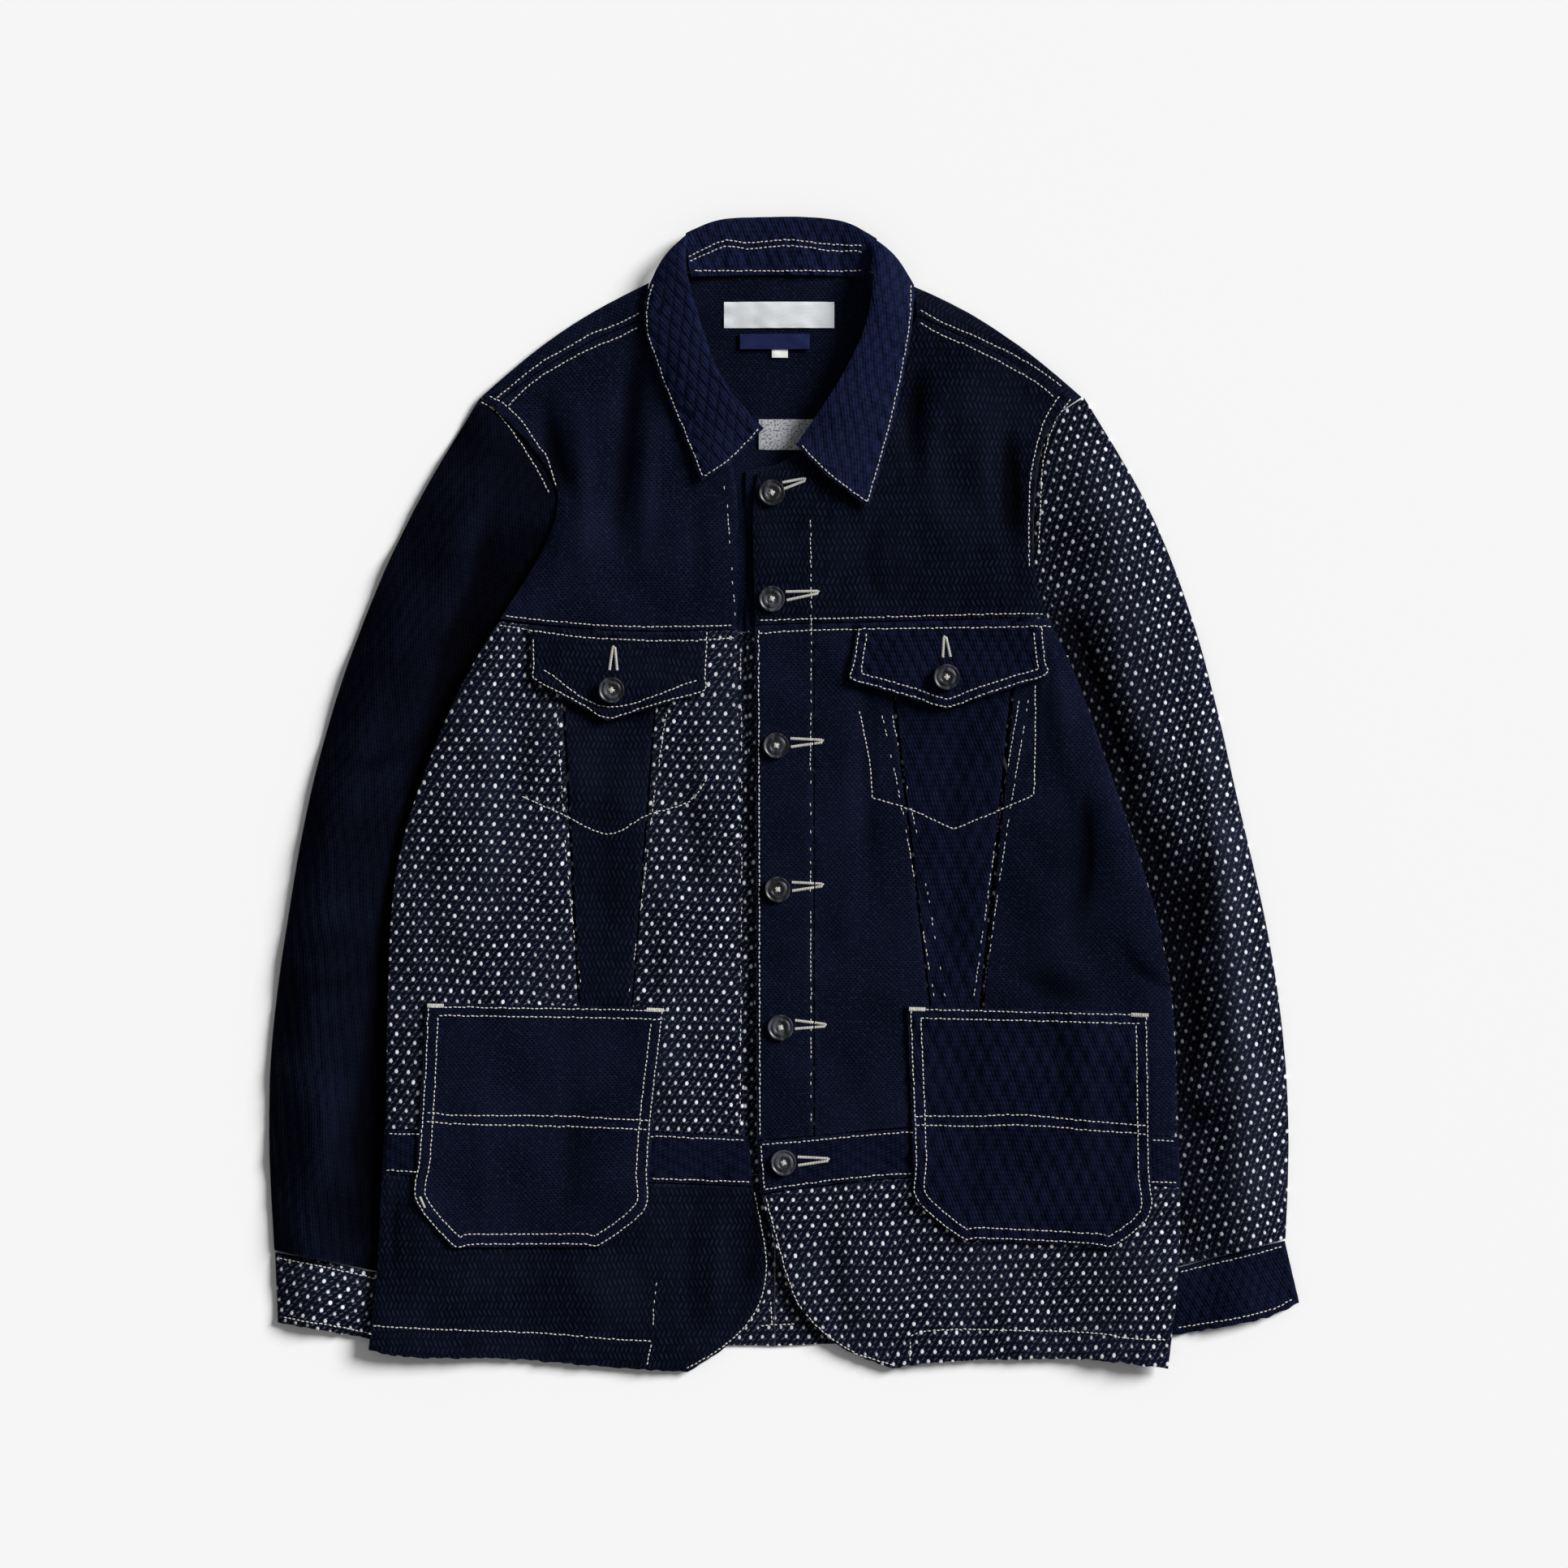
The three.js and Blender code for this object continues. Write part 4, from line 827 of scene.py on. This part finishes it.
def worn_relief(node, x, y, edge, roll, quilt):
    """How far each point of a panel rises or sinks, in millimetres."""
    if node in LEFT_PLAIN:
        return np.zeros_like(x)
    swell, near = puckers(x, y, Bench.seams, 7.0, 8.5, 21)
    rise = 1.0 * waves(x, y, 75, 3) + 0.75 * waves(x, y, 33, 4) + 0.2 * waves(x, y, 13, 5, 9)
    rise += PUCKER_RISE * swell
    rise -= SEAM_SINK * np.exp(-(near / SEAM_WIDTH) ** 2)
    rise += EDGE_RIPPLE * np.exp(-edge / EDGE_REACH) * waves(x, y, 13, 6)
    for line, half_width, height, starts in CREASES:
        if node.startswith(starts):
            rise += crease(x, y, line, half_width, height)
    if node in QUILTS:
        _wide, _tall, puff = QUILTS[node]
        rise += puff * (quilt - MIDDLE_OF_QUILT) * (1 - np.exp(-(edge / QUILT_EDGE) ** 2))
    if node in SHORT_CREASES:
        rise += leaf_puckers(x, y, *SHORT_CREASES[node])
    rise -= roll * np.exp(-(edge / ROLL_WIDTH) ** 2)
    if node in HALF_BURIED:
        rise *= BURIED_SHARE
    return rise


def fold_shade_and_wear(node, x, y, height):
    """Where each point stands in its folds, from 0 in the hollows to 1 on the ridges: the mask for
    painted shade in the hollows and for wear with a painted highlight on the ridges.
    """
    full = 0.56 + 0.07 * waves(x, y, 75, 3) + 0.07 * waves(x, y, 33, 4)
    for line, half_width, rise, starts in CREASES:
        if node.startswith(starts):
            full += 0.17 * crease(x, y, line, half_width * 1.25, rise)
    # painted shade: the sleeve tops darker where they lie low, beside the body
    if node.startswith("sleeve") and node.endswith("top"):
        full += 0.4 * ((height - 4.2) / 11 - 0.45)
    return np.clip(full, 0, 1)


def points_of(mesh):
    co = np.empty(len(mesh.vertices) * 3)
    mesh.vertices.foreach_get("co", co)
    return co.reshape(-1, 3)


def add_top(node, co, mesh):
    """Keeps the upper side of a piece, for the stitches that go on it."""
    Bench.tops.append((node, co, [tuple(p.vertices) for p in mesh.polygons]))
    Bench.surface = None


def add_object(name, mesh):
    piece = bpy.data.objects.new(name, mesh)
    bpy.context.scene.collection.objects.link(piece)
    return piece


# panels whose upper part is another cloth: (cloth, the height in mm it starts at)
UPPER_PATCHES = {"placket_under": ("birdseye", 113)}
HEMMED = ("skirt", "cuff", "back_skirt")  # worn hems draw up between their stitches
HEM_DRAW, HEM_REACH, HEM_TOP = 0.8, 4, -330  # mm


def cloth_piece(node):
    """One cut piece of cloth, made from the upper side of its CAD sheet."""
    fabric, grain, levels, roll = PANELS[node]
    bm = top_mesh(node)
    keep_corners(bm)
    mesh = bpy.data.meshes.new(node + "_cloth")
    bm.to_mesh(mesh)
    bm.free()
    piece = add_object(node + "_cloth", mesh)
    apply_modifier(piece, "SUBSURF", levels=levels, render_levels=levels,
                   boundary_smooth="PRESERVE_CORNERS")
    mesh = piece.data
    co = points_of(mesh)
    x, y = co[:, 0] / MM - ZERO[0], co[:, 1] / MM - ZERO[1]
    bm = bmesh.new()
    bm.from_mesh(mesh)
    rim = [v.index for v in bm.verts if v.is_boundary]
    bm.free()
    edge = distances(nearest_tree(np.column_stack([x[rim], y[rim]])), x, y)
    turn = math.radians(grain)
    u = x * math.cos(turn) + y * math.sin(turn)
    v = -x * math.sin(turn) + y * math.cos(turn)
    # the cloth has been pulled about by wear
    u += 1.3 * waves(x, y, 64, 31) + 0.4 * waves(x, y, 22, 32)
    v += 1.3 * waves(x, y, 58, 33) + 0.4 * waves(x, y, 24, 34)
    wide, tall, _rise = QUILTS.get(node, PLAIN_QUILT)
    quilt = quilt_lattice(u, v, wide, tall)
    before = co[:, 2] / MM
    if node.startswith(HEMMED):
        drawn = np.exp(-edge / HEM_REACH) / (1 + np.exp((y - HEM_TOP) / 5))
        co[:, 1] += HEM_DRAW * drawn * waves(x, y, 8.5, 51) * MM
    for centre, reach, shift in EASED.get(node, ()):
        share = np.exp(-((x - centre[0]) / reach[0]) ** 2 - ((y - centre[1]) / reach[1]) ** 2)
        co[:, :2] += share[:, None] * np.array(shift) * MM
    co[:, 2] = np.maximum(co[:, 2] + worn_relief(node, x, y, edge, roll, quilt) * MM, LOWEST_TOP)
    mesh.vertices.foreach_set("co", co.ravel())
    mesh.update()
    # relief carries the mask of painted shade and painted highlight in the folds
    for name, values in (("relief", fold_shade_and_wear(node, x, y, before)), ("quilt", quilt),
                         ("edge_distance", edge)):
        layer = mesh.attributes.new(name, "FLOAT", "POINT")
        layer.data.foreach_set("value", values.astype(np.float32))
    corners = np.empty(len(mesh.loops), np.int32)
    mesh.loops.foreach_get("vertex_index", corners)
    place = np.column_stack([u[corners], v[corners]]) * MM
    mesh.uv_layers.new(name="cloth").data.foreach_set("uv", place.astype(np.float32).ravel())
    add_top(node, co.copy(), mesh)
    apply_modifier(piece, "SOLIDIFY", thickness=CLOTH_WALL, offset=-1.0)
    pick_only(piece)
    bpy.ops.object.shade_smooth_by_angle(angle=math.radians(48))
    piece.data.materials.clear()
    piece.data.materials.append(Bench.finishes[fabric])
    if node in UPPER_PATCHES:
        other, above = UPPER_PATCHES[node]
        piece.data.materials.append(Bench.finishes[other])
        for face in piece.data.polygons:
            face.material_index = int(face.center.y / MM - ZERO[1] > above)
    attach(piece, "root")
    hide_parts(node)
    return piece


# ---------------------------------------------------------------- stitches
def template_stitch():
    """One plump stitch a millimetre long and wide, lying along x, of a few dozen faces."""
    bpy.ops.object.select_all(action="DESELECT")
    bpy.ops.mesh.primitive_uv_sphere_add(segments=6, ring_count=4, radius=0.5)
    ball = bpy.context.object
    bpy.ops.object.mode_set(mode="EDIT")
    bpy.ops.mesh.select_all(action="SELECT")
    bpy.ops.transform.rotate(value=math.pi / 2, orient_axis="Y", center_override=(0, 0, 0))
    bpy.ops.object.mode_set(mode="OBJECT")
    co = np.array([v.co for v in ball.data.vertices])
    faces = [tuple(p.vertices) for p in ball.data.polygons]
    bpy.data.objects.remove(ball)
    co[:, 0] = np.sign(co[:, 0]) * 0.5 * (np.abs(co[:, 0]) / 0.5) ** 0.6
    return co, faces


HIGH_UP = 0.1  # metres: above everything that is laid


def cloth_heights(points):
    """The height of the highest cloth under each point, in metres, and which panel it is."""
    if Bench.surface is None:
        verts, faces, base = [], [], 0
        Bench.owners = []
        for node, co, polygons in Bench.tops:
            verts += [tuple(c) for c in co]
            faces += [tuple(i + base for i in p) for p in polygons]
            base = len(verts)
            Bench.owners += [node] * len(polygons)
        Bench.surface = BVHTree.FromPolygons(verts, faces)
    heights, owners = [], []
    for px, py in points:
        above = Vector(((px + ZERO[0]) * MM, (py + ZERO[1]) * MM, HIGH_UP))
        hit, _normal, face, _far = Bench.surface.ray_cast(above, Vector((0, 0, -1)))
        heights.append(hit.z if hit else 0.0)
        owners.append(Bench.owners[face] if hit else None)
    return np.array(heights), owners


STEEP = 2.5  # mm: a stitch whose ends differ by more has one end off an edge


def lay_stitches(name, pieces, width, height, lift):
    """Joins stitches into one object.

    Each piece of thread is given by its two ends in millimetres and by the panel that it is
    sewn on, because another panel may cover it.
    """
    if not pieces:
        raise RuntimeError(f"no stitches in {name}")
    template, faces = template_stitch()
    ends = np.array([piece[:2] for piece in pieces], float)
    _heights, under = cloth_heights(ends.mean(axis=1))
    shown = [piece[2] in (None, node) for piece, node in zip(pieces, under)]
    ends = ends[np.array(shown)]
    a, b = ends[:, 0], ends[:, 1]
    za, zb = cloth_heights(a)[0] / MM, cloth_heights(b)[0] / MM
    count, size = len(ends), len(template)
    start = np.column_stack([a + ZERO, za + lift])
    finish = np.column_stack([b + ZERO, zb + lift])
    steep = np.abs(za - zb) > STEEP  # such a stitch takes the higher end's height
    top = np.maximum(za, zb) + lift
    start[steep, 2] = top[steep]
    finish[steep, 2] = top[steep]
    along = finish - start
    length = np.linalg.norm(along, axis=1)
    along /= length[:, None]
    side = np.cross(np.tile((0.0, 0.0, 1.0), (count, 1)), along)
    side /= np.linalg.norm(side, axis=1)[:, None]
    up = np.cross(along, side)
    middle = (start + finish) / 2
    co = (middle[:, None, :]
          + template[None, :, 0:1] * (along * length[:, None])[:, None, :]
          + template[None, :, 1:2] * (side * width)[:, None, :]
          + template[None, :, 2:3] * (up * height)[:, None, :]) * MM
    all_faces = [tuple(i + k * size for i in face) for k in range(count) for face in faces]
    mesh = bpy.data.meshes.new(name)
    mesh.from_pydata([tuple(c) for c in co.reshape(-1, 3)], [], all_faces)
    mesh.polygons.foreach_set("use_smooth", [True] * len(mesh.polygons))
    mesh.update()
    piece = add_object(name, mesh)
    mesh.materials.append(Bench.finishes["thread"])
    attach(piece, "root")


TURN, WANDER = 0.09, 0.16  # how uneven the stitches are: radians and mm
SHORTEST, LONGEST = 0.66, 0.8  # parts of a pitch that show


def running_stitches(rows, seed, share=1.0):
    """Rows of points as short lengths of thread with gaps between them, a little uneven."""
    draw = np.random.default_rng(seed)
    threads = []
    for node, row in rows:
        for a, b in zip(row[:-1], row[1:]):
            if draw.random() > share:
                continue
            middle, half = (a + b) / 2, (b - a) / 2
            turn = draw.normal(0, TURN)
            half = np.array([half[0] * math.cos(turn) - half[1] * math.sin(turn),
                             half[0] * math.sin(turn) + half[1] * math.cos(turn)])
            half = half * draw.uniform(SHORTEST, LONGEST)
            middle = middle + draw.normal(0, WANDER, 2)
            threads.append((middle - half, middle + half, node))
    return threads


CLOSE_STEP = 0.75  # mm from one close stitch to the next
CLOSE_LEAN = 0.25  # mm that its far end leans along the line


def directions(start, end):
    """The length of a line, the direction along it and the direction across it."""
    length = np.hypot(*(end - start))
    along = (end - start) / length
    return length, along, np.array([-along[1], along[0]])


def bar_stitches(start, end, width_start, width_end):
    """Close stitches across a short line, as on a bartack or a buttonhole's side."""
    start, end = np.array(start, float), np.array(end, float)
    length, along, side = directions(start, end)
    threads = []
    for t in np.linspace(0, 1, max(3, int(length / CLOSE_STEP))):
        middle = start + (end - start) * t
        half = side * (width_start + (width_end - width_start) * t) / 2
        threads.append((middle - half, middle + half + along * CLOSE_LEAN, None))
    return threads


# ---------------------------------------------------------------- what a user may change
def colour_setting(name, description, colour):
    return bpy.props.FloatVectorProperty(name=name, description=description, default=colour,
                                         subtype="COLOR", size=4, min=0, max=1)


def length_setting(name, description, metres):
    return bpy.props.FloatProperty(name=name, description=description, default=metres, min=0,
                                   unit="LENGTH")


class JacketColours(bpy.types.PropertyGroup):
    """The colours of the cloths, thread, buttons and floor."""
    dotted_ground: colour_setting("Dotted ground", "Ground of the dotted cloth", shade(4, 6, 14))
    dots: colour_setting("Dots", "Raised dots of the dotted cloth", shade(232, 233, 240))
    indigo: colour_setting("Indigo", "Small diamond weave", shade(12, 16, 31))
    slub: colour_setting("Slub", "Light threads of the slub cloth", shade(21, 26, 45))
    quilt_ridge: colour_setting("Quilt ridge", "Lozenges of the quilted cloth", shade(9, 12, 29))
    thread: colour_setting("Thread", "Hand stitches and buttonholes", shade(214, 211, 204))
    horn: colour_setting("Horn", "Buttons", shade(14, 15, 19))
    floor: colour_setting("Floor", "The plain floor", shade(243, 243, 243))


class JacketSizes(bpy.types.PropertyGroup):
    """The sizes of thread and buttons."""
    thread_width: length_setting("Thread width", "Width of a stitch", 0.9 * MM)
    thread_height: length_setting("Thread height", "Height of a stitch", 0.75 * MM)
    button_width: length_setting("Button width", "Width across a button", 17.6 * MM)
    button_height: length_setting("Button height", "Thickness of a button", 3.4 * MM)


# ---------------------------------------------------------------- the cloth
class PanelMaker(bpy.types.Operator):
    """Makes a group of cloth panels."""
    bl_idname = "jacket.panels"
    bl_label = "Panels"
    panels = ()

    def execute(self, context):
        prepare(context.scene.jacket_colours)
        for node in self.panels:
            cloth_piece(node)
        return {"FINISHED"}


class JACKET_OT_back(PanelMaker):
    """Lays the back halves, yoke, sides and skirts on the floor"""
    bl_idname = "jacket.back"
    bl_label = "Back"
    panels = ("back_left", "back_right", "back_yoke", "back_side_left", "back_side_right",
              "back_skirt_left", "back_skirt_right")


class JACKET_OT_sleeves(PanelMaker):
    """Lays both sleeves and their cuffs"""
    bl_idname = "jacket.sleeves"
    bl_label = "Sleeves"
    panels = ("sleeve_left_under", "sleeve_right_under", "cuff_left_under", "cuff_right_under",
              "sleeve_left_top", "sleeve_right_top", "cuff_left_top", "cuff_right_top")


class JACKET_OT_fronts(PanelMaker):
    """Lays the shoulders, yokes, front panels, plackets, waistbands and skirts"""
    bl_idname = "jacket.fronts"
    bl_label = "Fronts"
    panels = ("shoulder_left", "shoulder_right", "yoke_left", "yoke_right", "front_side_left",
              "front_centre_left", "wedge_left", "wedge_right", "front_centre_right",
              "front_side_right", "placket_under", "placket", "skirt_left", "skirt_right",
              "waistband_left", "waistband_right")


class JACKET_OT_pockets(PanelMaker):
    """Lays the patch pockets and the chest flaps"""
    bl_idname = "jacket.pockets"
    bl_label = "Pockets and Flaps"
    panels = ("pocket_left", "pocket_right", "flap_left", "flap_right")


class JACKET_OT_collar(PanelMaker):
    """Lays the collar's leaves, stands and back"""
    bl_idname = "jacket.collar"
    bl_label = "Collar"
    panels = ("collar_back", "collar_fall_back", "collar_stand_left", "collar_stand_right",
              "collar_leaf_left", "collar_leaf_right")


class JACKET_OT_labels(PanelMaker):
    """Lays the bare labels and the neck patch"""
    bl_idname = "jacket.labels"
    bl_label = "Labels"
    panels = ("neck_patch", "label_main", "label_small", "label_tag")


# ---------------------------------------------------------------- thread
# how far the middle of each kind of stitch lies above the cloth, in mm
LIFT = {"rows": 0.18, "sunk": 0.0, "buttonholes": 0.25, "bartacks": 0.2, "buttons": 0.35}
FINER = 0.8  # the size of the sunk stitches beside the others
CLOSE_WIDTH = 0.85  # mm
CLOSE_HEIGHT = 1.3  # in parts of the thread's height
ROW_SEED, SUNK_SEED = 40, 60
# widths of the close stitches in mm, at the start and at the end of a buttonhole's side and end
SIDE_WIDTHS, END_WIDTHS = (2.1, 1.9), (1.8, 1.4)
FAR_SPREAD, END_HALF, END_SLANT = 0.9, 0.6, 1.2  # mm


class JACKET_OT_stitching(bpy.types.Operator):
    """Sews every row of running stitches"""
    bl_idname = "jacket.stitching"
    bl_label = "Stitching"

    def execute(self, context):
        sizes = context.scene.jacket_sizes
        width, height = sizes.thread_width / MM, sizes.thread_height / MM
        half = len(Bench.rows) // 2
        groups = {"stitches_edges": Bench.rows[:half], "stitches_panels": Bench.rows[half:]}
        for seed, (name, rows) in enumerate(groups.items()):
            lay_stitches(name, running_stitches(rows, seed + ROW_SEED), width, height, LIFT["rows"])
        sunk = []
        for seed, (line, share) in enumerate(SUNK_ROWS):
            sunk += running_stitches([(None, lay_out(line, PITCH))], seed + SUNK_SEED, share)
        lay_stitches("stitches_sunk", sunk, width * FINER, height * FINER, LIFT["sunk"])
        return {"FINISHED"}


class JACKET_OT_buttonholes(bpy.types.Operator):
    """Sews the buttonholes and the bartacks with close stitches"""
    bl_idname = "jacket.buttonholes"
    bl_label = "Buttonholes"

    def execute(self, context):
        sizes = context.scene.jacket_sizes
        height = sizes.thread_height / MM * CLOSE_HEIGHT
        threads = []
        for start, end, spread in BUTTONHOLES:
            start, end = np.array(start, float), np.array(end, float)
            _length, along, side = directions(start, end)
            for way in (-1, 1):
                near, far = side * spread * way, side * FAR_SPREAD * way
                threads += bar_stitches(start + near, end + far, *SIDE_WIDTHS)
            half = side * END_HALF
            threads += bar_stitches(end - half, end + half + along * END_SLANT, *END_WIDTHS)
        lay_stitches("buttonholes", threads, CLOSE_WIDTH, height, LIFT["buttonholes"])
        threads = []
        for start, end, first, last in BARS:
            threads += bar_stitches(start, end, first, last)
        lay_stitches("bartacks", threads, CLOSE_WIDTH, height, LIFT["bartacks"])
        return {"FINISHED"}


# ---------------------------------------------------------------- buttons
def select_faces(mesh, test):
    """Selects, in edit mode, the faces that pass a test."""
    bpy.ops.mesh.select_all(action="DESELECT")
    bpy.ops.mesh.select_mode(type="FACE")
    bm = bmesh.from_edit_mesh(mesh)
    for face in bm.faces:
        face.select_set(test(face))
    bm.select_flush_mode()
    bmesh.update_edit_mesh(mesh)


# how far each step of a button's face goes in and up, in parts of its width and height
FACE_STEPS = [(0.045, 0.0), (0.05, -0.24), (0.052, 0.0), (0.014, 0.2), (0.095, 0.02),
              (0.016, -0.3)]
BUTTON_SINK = 0.2 * MM
BUTTON_TURN = 0.7  # radians from one button to the next
THREAD_TURN, NEXT_THREAD_TURN = 0.25, 0.2
# the crossed threads on a button, in mm: half their length, half their distance and their width
ARM, APART, CROSS_WIDTH = 2.3, 0.45, 0.9


def template_button(width, height):
    """A dished button with a raised ring, standing on z = 0 at the middle of the floor."""
    bpy.ops.object.select_all(action="DESELECT")
    bpy.ops.mesh.primitive_cylinder_add(vertices=48, radius=width / 2, depth=height,
                                        location=(0, 0, height / 2))
    button = bpy.context.object
    bpy.ops.object.transform_apply(location=True, rotation=False, scale=False)
    bpy.ops.object.mode_set(mode="EDIT")
    select_faces(button.data, lambda f: f.normal.z > 0.9)
    for inward, upward in FACE_STEPS:
        bpy.ops.mesh.inset(thickness=inward * width, use_even_offset=True)
        bpy.ops.transform.translate(value=(0, 0, upward * height))
    bpy.ops.object.mode_set(mode="OBJECT")
    apply_modifier(button, "BEVEL", width=0.22 * MM, segments=2, limit_method="ANGLE",
                   angle_limit=math.radians(25))
    bpy.ops.object.shade_smooth_by_angle(angle=math.radians(40))
    return button


class JACKET_OT_buttons(bpy.types.Operator):
    """Sets the six front buttons and the two flap buttons with their thread"""
    bl_idname = "jacket.buttons"
    bl_label = "Buttons"

    def execute(self, context):
        sizes = context.scene.jacket_sizes
        first = template_button(sizes.button_width, sizes.button_height)
        nodes = [f"button_{i}" for i in range(1, 7)] + ["flap_button_left", "flap_button_right"]
        crosses = []
        for number, node in enumerate(nodes):
            low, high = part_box(node)
            piece = first.copy()
            piece.data = first.data.copy()
            piece.name = node + "_horn"
            bpy.context.scene.collection.objects.link(piece)
            middle = Vector(((low.x + high.x) / 2, (low.y + high.y) / 2, low.z - BUTTON_SINK))
            piece.data.transform(Matrix.Rotation(number * BUTTON_TURN, 4, "Z"))
            piece.data.transform(Matrix.Translation(middle))
            piece.data.materials.append(Bench.finishes["horn"])
            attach(piece, "root")
            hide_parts(node)
            add_top(node, points_of(piece.data), piece.data)
            at = np.array([middle.x, middle.y]) / MM - ZERO
            turned = THREAD_TURN + number * NEXT_THREAD_TURN
            for turn in (turned, turned + math.pi / 2):
                arm = ARM * np.array([math.cos(turn), math.sin(turn)])
                side = APART * np.array([-math.sin(turn), math.cos(turn)])
                crosses += [(at - arm + side * way, at + arm + side * way, node) for way in (-1, 1)]
        bpy.data.objects.remove(first)
        lay_stitches("button_threads", crosses, CROSS_WIDTH, CROSS_WIDTH, LIFT["buttons"])
        return {"FINISHED"}


# ---------------------------------------------------------------- floor, light and camera
FLOOR_SIZE, FLOOR_DROP = 80, 0.0004  # metres
SKY = 0.22
# name, where the light comes from, how wide it spreads in degrees, strength
LAMPS = [("key_light", (2.5, 1.5, 1.6), 24, 5.3)]
CAMERA_PLACE = (0.0001, 0.0075, 3.0)
FRAME_WIDTH = 1.082  # metres of floor that the camera takes in
SENSOR = 36  # mm


class JACKET_OT_stage(bpy.types.Operator):
    """Adds the pale floor, soft light and the camera that looks straight down"""
    bl_idname = "jacket.stage"
    bl_label = "Stage"

    def execute(self, context):
        bpy.ops.object.select_all(action="DESELECT")
        bpy.ops.mesh.primitive_plane_add(size=FLOOR_SIZE, location=(0, 0, -FLOOR_DROP))
        floor = bpy.context.object
        floor.name = "floor"
        floor.data.materials.append(Bench.finishes["floor"])
        world = bpy.data.worlds.new("soft_sky")
        world.use_nodes = True
        sky = world.node_tree.nodes["Background"]
        sky.inputs["Color"].default_value = (1, 1, 1, 1)
        sky.inputs["Strength"].default_value = SKY
        context.scene.world = world
        for name, place, spread, strength in LAMPS:
            light = bpy.data.lights.new(name, "SUN")
            light.angle = math.radians(spread)
            light.energy = strength
            lamp = add_object(name, light)
            lamp.location = place
            lamp.rotation_euler = (-Vector(place)).to_track_quat("-Z", "Y").to_euler()
        lens = bpy.data.cameras.new("camera")
        lens.sensor_width = SENSOR
        lens.lens = SENSOR * CAMERA_PLACE[2] / FRAME_WIDTH
        camera = add_object("camera", lens)
        camera.location = CAMERA_PLACE
        context.scene.camera = camera
        context.scene.view_settings.view_transform = "Standard"
        return {"FINISHED"}


class JACKET_PT_jacket(bpy.types.Panel):
    """Lists the jacket's parts, colours and sizes"""
    bl_label = "Patched Work Jacket"
    bl_idname = "JACKET_PT_jacket"
    bl_space_type = "VIEW_3D"
    bl_region_type = "UI"
    bl_category = "Jacket"

    def draw(self, context):
        for step in STEPS:
            self.layout.operator(step.bl_idname)
        for group in (context.scene.jacket_colours, context.scene.jacket_sizes):
            for name in group.__annotations__:
                self.layout.prop(group, name)


STEPS = (JACKET_OT_back, JACKET_OT_sleeves, JACKET_OT_fronts, JACKET_OT_pockets,
         JACKET_OT_collar, JACKET_OT_labels, JACKET_OT_stitching, JACKET_OT_buttonholes,
         JACKET_OT_buttons, JACKET_OT_stage)
CLASSES = (JacketColours, JacketSizes, *STEPS, JACKET_PT_jacket)


def register():
    for kind in CLASSES:
        bpy.utils.register_class(kind)
    bpy.types.Scene.jacket_colours = bpy.props.PointerProperty(type=JacketColours)
    bpy.types.Scene.jacket_sizes = bpy.props.PointerProperty(type=JacketSizes)


def unregister():
    del bpy.types.Scene.jacket_colours
    del bpy.types.Scene.jacket_sizes
    for kind in reversed(CLASSES):
        bpy.utils.unregister_class(kind)


def main():
    register()
    bpy.ops.jacket.back()
    bpy.ops.jacket.sleeves()
    bpy.ops.jacket.fronts()
    bpy.ops.jacket.pockets()
    bpy.ops.jacket.collar()
    bpy.ops.jacket.labels()
    bpy.ops.jacket.stitching()
    bpy.ops.jacket.buttonholes()
    bpy.ops.jacket.buttons()
    bpy.ops.jacket.stage()


if __name__ == "__main__":
    main()
